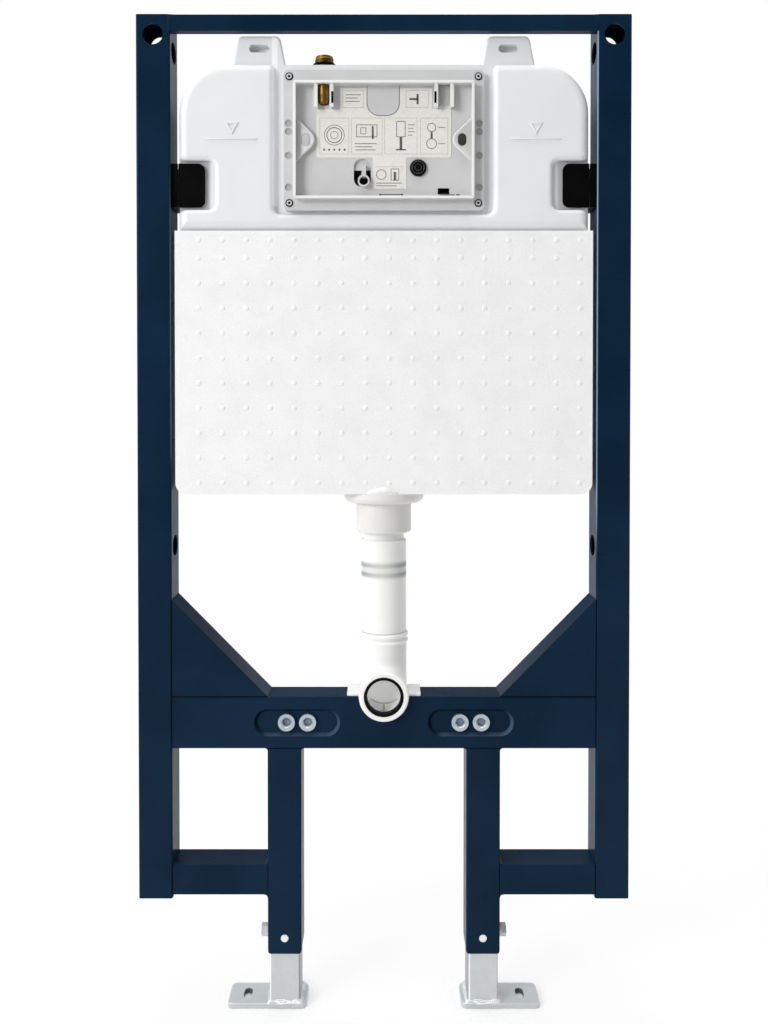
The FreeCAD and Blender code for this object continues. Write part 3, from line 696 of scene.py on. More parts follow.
@dataclass(frozen=True)
class Ink(Finish):
    """Grey printing ink, thin in places."""

    thin: Colour = (128, 128, 126)

    def surface(self, graph: Graph) -> dict:
        """Ink that lets the paper through here and there.

        Args:
            graph: the material's graph.

        Returns:
            The shader's sockets that it feeds.
        """
        gap = graph.spread(graph.noise(900.0, 3.0), 0.5, 0.75)
        return {
            "Base Color": graph.blend(gap, self.colour, self.thin),
            "Roughness": self.roughness + 0.1 * gap,
        }


class Bench:
    """Hand tools: each adds, selects or shapes one mesh with Blender's own operators."""

    @staticmethod
    def close() -> None:
        """Leaves edit mode."""
        bpy.ops.object.mode_set(mode="OBJECT")

    @staticmethod
    def clear() -> None:
        """Leaves edit mode and deselects everything."""
        if bpy.context.object and bpy.context.object.mode != "OBJECT":
            Bench.close()
        bpy.ops.object.select_all(action="DESELECT")

    @staticmethod
    def take(pieces: Iterable[Piece]) -> None:
        """Selects the pieces alone, with the first one active.

        Args:
            pieces: the objects.
        """
        group = list(pieces)
        Bench.clear()
        for piece in group:
            piece.select_set(True)
        bpy.context.view_layer.objects.active = group[0]

    @staticmethod
    def settle(name: str) -> Piece:
        """Names the new object and moves its place into its mesh.

        Args:
            name: the piece's name.

        Returns:
            The object.
        """
        piece = bpy.context.object
        piece.name = name
        piece.data.name = name
        bpy.ops.object.transform_apply(location=True, rotation=True, scale=True)
        return piece

    @staticmethod
    def rod(name: str, radius: float, length: float, centre: Point, axis: Axis, sides: int = 32) -> Piece:
        """Adds a cylinder.

        Args:
            name: the piece's name.
            radius: its radius.
            length: its length.
            centre: its middle.
            axis: the way it points.
            sides: corners round it.

        Returns:
            The object.
        """
        Bench.clear()
        bpy.ops.mesh.primitive_cylinder_add(vertices=sides, radius=radius, depth=length,
                                            location=centre, rotation=axis.value)
        return Bench.settle(name)

    @staticmethod
    def block(name: str, size: Point, centre: Point) -> Piece:
        """Adds a box.

        Args:
            name: the piece's name.
            size: its width, depth and height.
            centre: its middle.

        Returns:
            The object.
        """
        Bench.clear()
        bpy.ops.mesh.primitive_cube_add(size=1.0, location=centre, scale=size)
        return Bench.settle(name)

    @staticmethod
    def ring(name: str, radius: float, thickness: float, centre: Point, axis: Axis) -> Piece:
        """Adds a round ring.

        Args:
            name: the piece's name.
            radius: from the middle to the core of the ring.
            thickness: radius of the core.
            centre: its middle.
            axis: the way its hole points.

        Returns:
            The object.
        """
        Bench.clear()
        bpy.ops.mesh.primitive_torus_add(major_radius=radius, minor_radius=thickness, major_segments=48,
                                         minor_segments=12, location=centre, rotation=axis.value)
        return Bench.settle(name)

    @staticmethod
    def pick(piece: Piece, faces: Optional[FaceTest] = None, edges: Optional[EdgeTest] = None) -> None:
        """Opens edit mode with the faces or the edges selected that pass a test.

        Args:
            piece: the object.
            faces: takes a face's centre and normal.
            edges: takes an edge's middle.
        """
        Bench.close()
        bpy.context.tool_settings.mesh_select_mode = (False, bool(edges), bool(faces))
        mesh = piece.data
        spots = [vertex.co for vertex in mesh.vertices]
        middles = [(spots[edge.vertices[0]] + spots[edge.vertices[1]]) / 2 for edge in mesh.edges]
        mesh.vertices.foreach_set("select", [False] * len(spots))
        mesh.edges.foreach_set("select", [bool(edges and edges(middle)) for middle in middles])
        mesh.polygons.foreach_set("select", [bool(faces and faces(face.center, face.normal))
                                             for face in mesh.polygons])
        bpy.ops.object.mode_set(mode="EDIT")

    @staticmethod
    def pick_all() -> None:
        """Opens edit mode with everything selected."""
        bpy.ops.object.mode_set(mode="EDIT")
        bpy.ops.mesh.select_all(action="SELECT")

    @staticmethod
    def cut(place: Point, normal: Point) -> None:
        """Cuts off and closes what is selected beyond a plane, and leaves edit mode.

        Args:
            place: a point of the plane.
            normal: the way to the part that goes.
        """
        bpy.ops.mesh.bisect(plane_co=place, plane_no=normal, use_fill=True, clear_outer=True)
        Bench.close()

    @staticmethod
    def bevel(piece: Piece, test: EdgeTest, offset: float, segments: int, profile: float = 0.5) -> None:
        """Rounds the edges whose middle passes a test.

        Args:
            piece: the object.
            test: takes an edge's middle.
            offset: size of the round.
            segments: steps across it.
            profile: its shape, 0.5 for a quarter of a circle.
        """
        Bench.pick(piece, edges=test)
        bpy.ops.mesh.bevel(offset=offset, segments=segments, profile=profile, affect="EDGES")
        Bench.close()

    @staticmethod
    def step_front(piece: Piece, steps: Iterable[Pair]) -> None:
        """Insets the front face and moves it, once for each step.

        Args:
            piece: the object.
            steps: width of each inset, and how far the face then moves back.
        """
        Bench.pick(piece, looks_forward)
        for thickness, back in steps:
            bpy.ops.mesh.inset(thickness=thickness)
            bpy.ops.transform.translate(value=(0, back, 0))
        Bench.close()

    @staticmethod
    def apply(piece: Piece, kind: str, **settings: object) -> None:
        """Adds a modifier and applies it.

        Args:
            piece: the object.
            kind: the modifier's type.
            settings: its properties.
        """
        Bench.close()
        modifier = piece.modifiers.new(kind.lower(), kind)
        for key, setting in settings.items():
            setattr(modifier, key, setting)
        bpy.context.view_layer.objects.active = piece
        bpy.ops.object.modifier_apply(modifier=modifier.name)

    @staticmethod
    def soften(piece: Piece, width: float, segments: int = 2) -> None:
        """Rounds the sharp edges.

        Args:
            piece: the object.
            width: size of the round.
            segments: steps across it.
        """
        Bench.apply(piece, "BEVEL", width=width, segments=segments, limit_method="ANGLE",
                    angle_limit=math.radians(35))

    @staticmethod
    def repeat(piece: Piece, count: int, shift: Point) -> None:
        """Repeats a mesh within its piece.

        Args:
            piece: the object.
            count: number of repeats.
            shift: from one to the next.
        """
        Bench.apply(piece, "ARRAY", count=count, use_relative_offset=False, use_constant_offset=True,
                    constant_offset_displace=shift)

    @staticmethod
    def copy(piece: Piece, name: str, shift: Point) -> Piece:
        """Copies a finished piece with a mesh of its own.

        Args:
            piece: the object.
            name: the copy's name.
            shift: how far the copy stands from it.

        Returns:
            The copy.
        """
        Bench.take([piece])
        bpy.ops.object.duplicate(linked=False)
        bpy.ops.transform.translate(value=shift)
        return Bench.settle(name)

    @staticmethod
    def join(name: str, pieces: list[Piece]) -> Piece:
        """Joins several meshes into one piece.

        Args:
            name: the piece's name.
            pieces: the objects.

        Returns:
            The joined object.
        """
        Bench.take(pieces)
        bpy.ops.object.join()
        return Bench.settle(name)

    @staticmethod
    def thread(name: str, radius: float, tooth: float, pitch: float, turns: int, start: Point,
               axis: Axis) -> Piece:
        """Winds a thread from a three sided tooth.

        Args:
            name: the piece's name.
            radius: where the middle of the tooth runs.
            tooth: radius of the tooth's own section.
            pitch: rise of one turn.
            turns: number of turns.
            start: centre of the first turn.
            axis: the way the thread climbs.

        Returns:
            The object.
        """
        Bench.clear()
        bpy.ops.mesh.primitive_circle_add(vertices=3, radius=tooth, location=(radius, 0, 0),
                                          rotation=Axis.ALONG_Y.value)
        piece = Bench.settle(name)
        Bench.apply(piece, "SCREW", angle=2 * math.pi, screw_offset=pitch, iterations=turns, steps=28,
                    render_steps=28, use_merge_vertices=False)
        Bench.pick_all()
        bpy.ops.mesh.remove_doubles(threshold=1e-6)
        bpy.ops.mesh.fill_holes(sides=0)
        bpy.ops.mesh.normals_make_consistent(inside=False)
        Bench.close()
        piece.rotation_euler = axis.value
        piece.location = start
        return Bench.settle(name)


@dataclass
class Wardrobe:
    """Makes each finish once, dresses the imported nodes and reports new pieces."""

    finishes: tuple[Finish, ...]

    def __post_init__(self) -> None:
        """Builds the materials of the slots."""
        self.materials = {finish.slot: finish.material() for finish in self.finishes}

    def material(self, finish: Union[Slot, Finish]) -> Material:
        """Finds a material, and makes it when it is first asked for.

        Args:
            finish: the record's slot, or a finish of its own.

        Returns:
            The material.
        """
        if finish not in self.materials:
            self.materials[finish] = finish.material()
        return self.materials[finish]

    def dress_nodes(self, special: dict[str, Finish]) -> None:
        """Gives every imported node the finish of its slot.

        Args:
            special: nodes with a finish of their own.
        """
        for part in frame["record"]["subparts"]:
            node = frame["nodes"][part["node"]]
            finish = special.get(part["node"], Slot(part["material_slot"]))
            node.data.materials.clear()
            node.data.materials.append(self.material(finish))
        LOG.info("dressed %d nodes", len(frame["nodes"]))

    def hang(self, piece: Piece, finish: Union[Slot, Finish], body: str = "frame",
             smooth: float = 35.0) -> None:
        """Finishes a new piece: shading, material, body and slot.

        Args:
            piece: the object.
            finish: the record's slot, or a finish of its own.
            body: the body it rides on.
            smooth: edges under this angle in degrees are shaded smooth.
        """
        Bench.take([piece])
        bpy.ops.object.shade_smooth_by_angle(angle=math.radians(smooth))
        piece.data.materials.clear()
        piece.data.materials.append(self.material(finish))
        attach(piece, body)
        LOG.info("%s: %d faces on %s", piece.name, len(piece.data.polygons), body)


@dataclass
class InsulationJacket:
    """Rows of small domes moulded on the foam's front, and the swelling over the outlet nut."""

    wardrobe: Wardrobe
    dome_radius: float = 0.0032
    dome_rise: float = 0.0006
    columns: int = 17
    first_x: float = -0.2172
    pitch_x: float = 0.02795
    rows: int = 10
    lowest_z: float = 0.2984
    pitch_z: float = 0.02929
    top_row_z: float = 0.5830
    lip_x: float = -0.002
    lip_size: Point = (0.042, 0.010, 0.016)
    lip_roughness: float = 0.0009
    smooth: float = 60.0

    def dome(self, name: str, level: float) -> Piece:
        """Models one dome: the front cap of a ball, pressed flat.

        Args:
            name: the piece's name.
            level: its height.

        Returns:
            The object.
        """
        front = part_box("insulation_jacket")[0].y
        centre = (self.first_x, front, level)
        Bench.clear()
        bpy.ops.mesh.primitive_uv_sphere_add(segments=12, ring_count=8, radius=self.dome_radius,
                                             location=centre, rotation=Axis.ALONG_Y.value)
        piece = Bench.settle(name)
        Bench.pick_all()
        Bench.cut((0, front, 0), (0, 1, 0))
        Bench.pick_all()
        bpy.ops.transform.resize(value=(1, self.dome_rise / self.dome_radius, 1), center_override=centre)
        Bench.close()
        return piece

    def lip(self) -> Piece:
        """Swells the foam over the front of the outlet nut.

        Returns:
            The object.
        """
        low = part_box("insulation_jacket")[0]
        depth = self.lip_size[1]
        Bench.clear()
        bpy.ops.mesh.primitive_uv_sphere_add(segments=24, ring_count=14, radius=0.5,
                                             location=(self.lip_x, low.y + depth * 0.2, low.z))
        bpy.ops.transform.resize(value=self.lip_size)
        piece = Bench.settle("jacket_lip")
        Bench.pick_all()
        bpy.ops.transform.vertex_random(offset=self.lip_roughness, uniform=0.5, normal=0.5, seed=5)
        Bench.cut((0, low.y + depth * 0.5, 0), (0, 1, 0))
        return piece

    def build(self) -> None:
        """Sets out the domes in columns and rows, and adds the lip."""
        field = self.dome("jacket_domes", self.lowest_z)
        Bench.repeat(field, self.rows, (0, 0, self.pitch_z))
        field = Bench.join("jacket_domes", [field, self.dome("jacket_domes_top", self.top_row_z)])
        Bench.repeat(field, self.columns, (self.pitch_x, 0, 0))
        self.wardrobe.hang(field, Slot.FOAM, smooth=self.smooth)
        self.wardrobe.hang(self.lip(), Slot.FOAM, smooth=self.smooth)


@dataclass
class Cistern:
    """Moulded filling marks on the two raised panels."""

    wardrobe: Wardrobe
    mark_x: float = 0.178
    arrow_width: float = 0.0155
    arrow_top: float = 0.7205
    arrow_height: float = 0.0140
    line_level: float = 0.7014
    line_length: float = 0.0590
    relief: float = 0.0011
    stroke: float = 0.0016
    edge: float = 0.0003

    def arrow(self, x: float, face: float) -> Piece:
        """Models a raised outline of a triangle that points down.

        Args:
            x: its middle.
            face: the panel that it stands on.

        Returns:
            The object.
        """
        radius = self.arrow_height / 1.5
        Bench.clear()
        bpy.ops.mesh.primitive_circle_add(vertices=3, radius=radius, fill_type="NGON",
                                          location=(x, face, self.arrow_top - radius / 2),
                                          rotation=(math.pi / 2, math.pi, 0))
        piece = Bench.settle("arrow")
        Bench.pick_all()
        bpy.ops.transform.resize(value=(self.arrow_width / (radius * math.sqrt(3)), 1, 1),
                                 center_override=(x, face, self.arrow_top))
        bpy.ops.mesh.inset(thickness=self.stroke, depth=0)
        bpy.ops.mesh.delete(type="FACE")
        Bench.apply(piece, "SOLIDIFY", thickness=2 * self.relief, offset=0.0)
        return piece

    def build(self) -> None:
        """Makes a mark on each panel."""
        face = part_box("cistern_tank")[0].y
        for side, way in SIDES:
            x = way * self.mark_x
            arrow = self.arrow(x, face)
            line = Bench.block("line", (self.line_length, 2 * self.relief, self.stroke),
                               (x, face, self.line_level))
            mark = Bench.join(side + "_fill_mark", [arrow, line])
            Bench.soften(mark, self.edge)
            self.wardrobe.hang(mark, Slot.CISTERN)


@dataclass
class CardPrint:
    """Plain marks on the card: panel lines, rings, bars and dots that say nothing."""

    wardrobe: Wardrobe
    proud: float = 0.00012
    hair: float = 0.0004
    stroke: float = 0.0007
    pale_panels: Rows = (
        (-0.0580, 0.7050, 0.034, 0.042), (-0.0200, 0.7050, 0.036, 0.042), (0.0200, 0.7050, 0.038, 0.042),
        (0.0590, 0.7050, 0.032, 0.042), (-0.0360, 0.7480, 0.024, 0.020), (0.0390, 0.7480, 0.026, 0.020),
    )
    pale_bars: Rows = ((0.0070, 0.6690, 0.034, 0.0004),)
    rings: Rows = (
        (-0.0580, 0.7060, 0.0120, 0.0006), (-0.0580, 0.7060, 0.0092, 0.0009),
        (-0.0580, 0.7060, 0.0046, 0.0006), (0.0560, 0.7150, 0.0052, 0.0007),
        (0.0560, 0.6960, 0.0062, 0.0007), (-0.0030, 0.6600, 0.0060, 0.0007),
    )
    dots: Rows = tuple((-0.0700 + 0.006 * step, 0.6890, 0.0022, 0.0022) for step in range(5))
    panels: Rows = (
        (-0.0200, 0.7110, 0.024, 0.014), (-0.0240, 0.7110, 0.006, 0.007), (0.0200, 0.7130, 0.010, 0.018),
        (0.0130, 0.6600, 0.009, 0.013),
    )
    bars: Rows = (
        (-0.0130, 0.7090, 0.0022, 0.0150), (0.0200, 0.6960, 0.0030, 0.0150), (0.0200, 0.6890, 0.0120, 0.0014),
        (0.0680, 0.7150, 0.0080, 0.0007), (0.0680, 0.6960, 0.0080, 0.0007), (0.0560, 0.7055, 0.0024, 0.0080),
        (0.0350, 0.7480, 0.0100, 0.0024), (0.0395, 0.7480, 0.0024, 0.0120), (0.0130, 0.6580, 0.0028, 0.0100),
    )
    writing: Rows = (
        (-0.0340, 0.6960, 0.026, 3, 0.0036), (0.0285, 0.7180, 0.008, 4, 0.0040),
        (-0.0450, 0.7530, 0.018, 3, 0.0038), (-0.0090, 0.6500, 0.030, 2, 0.0032),
    )
    line_shares: tuple[float, ...] = (1.0, 0.8, 0.93, 0.6)

    def __post_init__(self) -> None:
        """Finds the card's face and starts an empty list of marks."""
        self.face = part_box("instruction_sheet")[0].y
        self.marks: list[Piece] = []

    def bar(self, x: float, z: float, width: float, height: float) -> None:
        """Adds a filled bar round a middle point, of a width and a height."""
        self.marks.append(Bench.block("bar", (width, 2 * self.proud, height), (x, self.face, z)))

    def panel(self, x: float, z: float, width: float, height: float, line: float) -> None:
        """Adds an open rectangle.

        Args:
            x: its middle.
            z: its middle.
            width: its width.
            height: its height.
            line: width of its lines.
        """
        for side in (-1, 1):
            self.bar(x + side * width / 2, z, line, height)
            self.bar(x, z + side * height / 2, width, line)

    def circle(self, x: float, z: float, radius: float, line: float) -> None:
        """Adds a flat ring.

        Args:
            x: its middle.
            z: its middle.
            radius: its outer radius.
            line: width of its line.
        """
        disc = Bench.rod("circle", radius, 2 * self.proud, (x, self.face, z), Axis.ALONG_Y, 40)
        Bench.pick(disc, lambda spot, normal: abs(normal.y) > SQUARE_ON)
        bpy.ops.mesh.inset(thickness=line)
        bpy.ops.mesh.bridge_edge_loops()
        Bench.close()
        self.marks.append(disc)

    def lines(self, x: float, z: float, width: float, count: int, pitch: float) -> None:
        """Adds a block of bars like lines of writing, of uneven length.

        Args:
            x: left end of the lines.
            z: level of the first.
            width: length of the longest.
            count: number of lines.
            pitch: distance between them.
        """
        for step in range(count):
            length = width * self.line_shares[step % len(self.line_shares)]
            self.bar(x + length / 2, z - step * pitch, length, self.stroke)

    def gather(self, name: str, ink: Ink) -> None:
        """Joins the marks made so far into one piece of a name and an ink."""
        self.wardrobe.hang(Bench.join(name, self.marks), ink)
        self.marks = []

    def build(self) -> None:
        """Prints the pale panels and then the dark marks."""
        for row in self.pale_panels:
            self.panel(*row, self.hair)
        for row in self.pale_bars:
            self.bar(*row)
        self.gather("card_panels", Ink(Slot.CARD, (168, 168, 164), 0.8, thin=(196, 195, 190)))
        for row in self.rings:
            self.circle(*row)
        for row in self.panels:
            self.panel(*row, self.stroke)
        for row in self.dots + self.bars:
            self.bar(*row)
        for row in self.writing:
            self.lines(*row)
        self.gather("card_marks", Ink(Slot.CARD, (74, 74, 74), 0.8))


@dataclass
class ServiceBox:
    """Screws, grey hole floors of painted shade, plug rings, lip trim, lugs with discs in their holes, and
    small lines round the window, some of them painted shade.
    """

    wardrobe: Wardrobe
    flange_behind_lip: float = 0.009
    screw_x: float = 0.1107
    screw_levels: Pair = (0.7743, 0.6266)
    screw_radius: float = 0.0046
    head_share: float = 0.68
    socket_share: float = 0.36
    cup_length_hollow_edge: Point = (0.0012, 0.0010, 0.0002)
    head_length_hollow_edge: Point = (0.0026, 0.0016, 0.0003)
    floor_length: float = 0.0012
    floor_share: float = 0.95
    floor_inset: float = 0.3
    floor_dish: float = 0.0003
    plug_rings: Rows = ((0.36, 0.0008), (0.19, 0.0006))
    dimple_x: float = 0.1116
    dimple_levels: tuple[float, ...] = (0.7198, 0.7101, 0.6822, 0.6450)
    dimple_radius: float = 0.0041
    dimple_depth: float = 0.0012
    dimple_floor: float = 0.0003
    dimple_inset: float = 0.2
    dimple_dish: float = 0.0001
    gap_x: float = 0.0701
    gap_half: float = 0.0068
    gap_span: Pair = (0.7405, 0.7638)
    stem_radius: float = 0.0064
    stem_front: float = -0.0432
    stem_round: float = 0.0042
    slit_x: float = 0.0600
    slit_width: float = 0.0026
    slit_span: Pair = (0.7410, 0.7545)
    slit_depth: float = 0.0008
    blank_depth: float = 0.0064
    blank_behind: float = 0.0030
    lip_half: float = 0.1051
    lip_span: Pair = (0.6305, 0.7665)
    lip_width: float = 0.0025
    lip_depth: float = 0.0012
    lip_proud: float = 0.0002
    lip_round: float = 0.0022
    lug_level: float = 0.6998
    lug_apex: float = 0.0749
    lug_wall: float = 0.1026
    lug_slope: float = 0.93
    lug_round: float = 0.0135
    lug_rim: float = 0.0031
    lug_depth: float = 0.0012
    lug_steps: Rows = ((0.0007, -0.0008), (0.0014, 0.0), (0.0010, 0.0007))
    lug_hole_x: float = 0.0914
    lobe_radius: float = 0.0050
    lobe_shift: float = 0.0022
    lobe_waist: float = 0.88
    lobe_depth: float = 0.0008
    clip_rise: float = 0.0011
    clip_edge_rise: float = 0.0009
    clip_swell: float = -0.0001
    clip_shift: Pair = (0.0003, -0.0004)
    tongue_x: float = -0.0007
    tongue_half: float = 0.0191
    tongue_low: float = 0.7287
    tongue_round: float = 0.0146
    tongue_depth: float = 0.0006
    strip_depth: float = 0.0008
    strips: Rows = (
        (0.0260, 0.0008, 0.0085, 0.6366), (0.0012, 0.0034, -0.0045, 0.6362), (0.0012, 0.0024, 0.0215, 0.6366),
        (0.0180, 0.0010, 0.0740, 0.6362), (0.0040, 0.0014, 0.0870, 0.6362),
    )

    def screw(self, face: float) -> list[Piece]:
        """Models the first screw: a dark cup, a bright head with a socket, and the socket's floor, painted
        dark as shade.

        Args:
            face: front of the flange.

        Returns:
            The cup, the head and the floor.
        """
        centre = (-self.screw_x, face, self.screw_levels[0])
        head = self.screw_radius * self.head_share
        socket = self.screw_radius * self.socket_share
        pieces = []
        for name, outer, inner, (length, hollow, edge) in (
                ("box_screw_cup_1", self.screw_radius, head, self.cup_length_hollow_edge),
                ("box_screw_1", head, socket, self.head_length_hollow_edge)):
            piece = Bench.rod(name, outer, length, centre, Axis.ALONG_Y)
            Bench.pick(piece, looks_forward)
            bpy.ops.mesh.inset(thickness=outer - inner)
            bpy.ops.mesh.extrude_region_move(TRANSFORM_OT_translate={"value": (0, hollow, 0)})
            Bench.soften(piece, edge)
            pieces.append(piece)
        floor = Bench.rod("box_screw_socket_1", socket * self.floor_share, self.floor_length, centre,
                          Axis.ALONG_Y, 6)
        Bench.step_front(floor, [(socket * self.floor_inset, self.floor_dish)])
        Bench.soften(floor, 0.0001)
        return pieces + [floor]

    def screws(self) -> None:
        """Sets a screw in each corner of the flange."""
        first = self.screw(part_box("access_frame")[0].y + self.flange_behind_lip)
        drop = self.screw_levels[1] - self.screw_levels[0]
        shifts = [(2 * self.screw_x, 0, 0), (0, 0, drop), (2 * self.screw_x, 0, drop)]
        bright = ZincCoat(Slot.ZINC, (216, 218, 221), 0.45, metal=0.3, dull=(196, 199, 204))
        # The socket's floor takes black rubber as painted shade.
        for piece, finish in zip(first, (Slot.RUBBER, bright, Slot.RUBBER)):
            copies = [Bench.copy(piece, piece.name[:-1] + str(count), shift)
                      for count, shift in enumerate(shifts, start=2)]
            for screw in [piece] + copies:
                self.wardrobe.hang(screw, finish)

    def plug_ring(self) -> None:
        """Adds the raised rings of the rubber plug."""
        low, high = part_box("rubber_plug")
        centre = ((low.x + high.x) / 2, low.y, (low.z + high.z) / 2)
        rings = [Bench.ring("ring", (high.x - low.x) * share, thickness, centre, Axis.ALONG_Y)
                 for share, thickness in self.plug_rings]
        shiny = Moulding(Slot.RUBBER, (14, 14, 14), 0.3, gloss=0.6, shade=(20, 20, 20))
        self.wardrobe.hang(Bench.join("plug_rings", rings), shiny)

    def dimples(self) -> None:
        """Lays a grey disc on the floor of each shallow hole of the flange, as painted shade."""
        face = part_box("access_frame")[0].y + self.flange_behind_lip + self.dimple_depth
        floors = []
        for _, way in SIDES:
            for level in self.dimple_levels:
                floor = Bench.rod("floor", self.dimple_radius, self.dimple_floor,
                                  (way * self.dimple_x, face, level), Axis.ALONG_Y)
                Bench.step_front(floor, [(self.dimple_radius * self.dimple_inset, self.dimple_dish)])
                floors.append(floor)
        # Grey of the painted shade in the holes.
        grey = Moulding(Slot.BOX, (176, 176, 175), 0.6, gloss=0.2, shade=(166, 166, 166))
        self.wardrobe.hang(Bench.join("flange_hole_floors", floors), grey)

    def lip_trim(self) -> None:
        """Rounds the white front of the lip round the window."""
        low, high = self.lip_span
        middle = (low + high) / 2
        tall = high - low + 2 * self.lip_proud
        piece = Bench.block("window_lip_front", (2 * (self.lip_half + self.lip_proud), self.lip_depth, tall),
                            (0.0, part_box("access_frame")[0].y + self.lip_depth / 3, middle))
        Bench.bevel(piece, lambda spot: abs(spot.x) > self.lip_half and abs(spot.z - middle) > tall * 0.49,
                    self.lip_round, 4)
        Bench.pick(piece, lambda spot, normal: abs(normal.y) > SQUARE_ON)
        bpy.ops.mesh.inset(thickness=self.lip_width + 2 * self.lip_proud)
        bpy.ops.mesh.bridge_edge_loops()
        Bench.soften(piece, 0.0005)
        white = Moulding(Slot.BOX, (238, 238, 237), 0.45, gloss=0.3, shade=(232, 232, 232))
        self.wardrobe.hang(piece, white)

    def lug_face(self, side: str, way: int, finish: Finish) -> None:
        """Models a lug's face: a round tipped triangle with a raised rim, cut off at the window's wall.

        Args:
            side: left or right.
            way: that side, minus one or one.
            finish: its plastic.
        """
        length = self.lug_wall + self.lug_rim - self.lug_apex
        radius = length / 1.5
        centre = (way * (self.lug_apex + radius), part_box("cover_plate")[0].y, self.lug_level)
        Bench.clear()
        bpy.ops.mesh.primitive_cylinder_add(vertices=3, radius=radius, depth=self.lug_depth, location=centre,
                                            rotation=(math.pi / 2, -way * math.pi / 2, 0))
        piece = Bench.settle(side + "_lug_face")
        Bench.pick_all()
        bpy.ops.transform.resize(value=(1, 1, self.lug_slope * length / (radius * math.sqrt(0.75))),
                                 center_override=centre)
        Bench.bevel(piece, lambda spot: abs(abs(spot.x) - self.lug_apex) < 1e-4, self.lug_round, 8)
        Bench.step_front(piece, self.lug_steps)
        Bench.pick_all()
        Bench.cut((way * self.lug_wall, 0, 0), (way, 0, 0))
        Bench.soften(piece, 0.0002)
        self.wardrobe.hang(piece, finish)

    def lug_clip(self, name: str, spot: Pair, rise: float, swell: float, finish: Finish) -> None:
        """Fills a lug's hole with a two lobed disc.

        Args:
            name: the piece's name.
            spot: the hole's middle, across and up.
            rise: how far its front stands out of the lug.
            swell: how much larger than the hole it is.
            finish: its plastic.
        """
        x, level = spot
        centre = (x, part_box("cover_plate")[0].y - rise + self.lobe_depth / 2, level)
        piece = Bench.rod(name, self.lobe_radius + swell, self.lobe_depth, centre, Axis.ALONG_Y)
        for way in (-1, 1):
            Bench.pick(piece, lambda place, normal: abs(normal.y) < 0.5 and way * (place.z - level) > 0)
            bpy.ops.transform.translate(value=(0, 0, way * self.lobe_shift))
        Bench.pick(piece, edges=lambda place: abs(place.z - level) < SAME_SPOT
                   and abs(place.x - x) > self.lobe_radius / 2)
        bpy.ops.transform.resize(value=(self.lobe_waist, 1, 1), center_override=centre)
        Bench.soften(piece, 0.0002)
        self.wardrobe.hang(piece, finish)

    def lugs(self) -> None:
        """Makes both lugs: a dark disc in the right one's hole; in the left one, which is painted darker as
        shade, a pale disc with a painted shadow line round it.
        """
        pale = Moulding(Slot.BOX, (222, 222, 221), 0.42, gloss=0.35, shade=(214, 214, 214))
        # A darker copy of the lug plastic, as painted shade on the left lug.
        shaded = Moulding(Slot.BOX, (206, 206, 205), 0.42, gloss=0.35, shade=(198, 198, 198))
        dark = Moulding(Slot.RUBBER, (56, 56, 54), 0.5, gloss=0.2, shade=(50, 50, 49))
        # Grey of the painted shadow line round the left lug's disc.
        line = Moulding(Slot.RUBBER, (112, 112, 110), 0.5, gloss=0.2, shade=(104, 104, 103))
        grey = Moulding(Slot.RUBBER, (196, 196, 195), 0.5, gloss=0.2, shade=(188, 188, 187))
        self.lug_face("left", -1, shaded)
        self.lug_face("right", 1, pale)
        x, level = self.lug_hole_x, self.lug_level
        self.lug_clip("right_lug_clip", (x, level), self.clip_rise, 0.0, dark)
        self.lug_clip("left_lug_clip_edge", (-x, level), self.clip_edge_rise, 0.0, line)
        self.lug_clip("left_lug_clip", (self.clip_shift[0] - x, level + self.clip_shift[1]), self.clip_rise,
                      self.clip_swell, grey)

    def gap_fronts(self) -> None:
        """Shows the brass stem in the left gap, the white blank in the right one painted grey as shade, and a
        strip of painted shade beside each clip.
        """
        low, high = self.gap_span
        middle = (low + high) / 2
        stem = Bench.rod("stem_front", self.stem_radius, high - low,
                         (-self.gap_x, self.stem_front + self.stem_radius, middle), Axis.ALONG_Z)
        Bench.bevel(stem, lambda spot: abs(spot.z - low) < SAME_SPOT, self.stem_round, 5)
        self.wardrobe.hang(stem, Slot.BRASS)
        blank = Bench.block("blank_front", (2 * self.gap_half, self.blank_depth, high - low),
                            (self.gap_x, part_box("instruction_sheet")[0].y + self.blank_behind, middle))
        Bench.soften(blank, 0.0004)
        # Grey of the white blank, painted as shade.
        self.wardrobe.hang(blank, Moulding(Slot.BOX, (178, 178, 176), 0.5, gloss=0.3, shade=(170, 170, 169)))
        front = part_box("inlet_clip")[0].y
        low, high = self.slit_span
        for side, way in SIDES:
            shade_strip = Bench.block(side + "_clip_slit", (self.slit_width, self.slit_depth, high - low),
                               (way * self.slit_x, front, (low + high) / 2))
            Bench.soften(shade_strip, 0.0003)
            # Black rubber as painted shade beside the clip.
            self.wardrobe.hang(shade_strip, Slot.RUBBER)

    def tongue_line(self) -> None:
        """Lays a dark band on the plate behind the tongue, seen as painted shadow in the gap round it."""
        low, high = self.tongue_low, self.gap_span[1]
        piece = Bench.block("tongue_gap", (2 * self.tongue_half, self.tongue_depth, high - low),
                            (self.tongue_x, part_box("instruction_sheet")[1].y, (high + low) / 2))
        Bench.bevel(piece, lambda spot: abs(spot.z - low) < SAME_SPOT
                    and abs(abs(spot.x - self.tongue_x) - self.tongue_half) < SAME_SPOT,
                    self.tongue_round, 10)
        # Grey of the painted shadow in the gap.
        self.wardrobe.hang(piece, Moulding(Slot.BOX, (118, 118, 116), 0.6, gloss=0.1, shade=(108, 108, 107)))

    def moulded_lines(self) -> None:
        """Adds the thin staple mark under the card and the line beside the latch slot."""
        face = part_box("instruction_sheet")[1].y
        strips = [Bench.block("strip", (width, self.strip_depth, height), (x, face, z))
                  for width, height, x, z in self.strips]
        piece = Bench.join("cover_lines", strips)
        Bench.soften(piece, 0.0002)
        self.wardrobe.hang(piece, Slot.RUBBER)

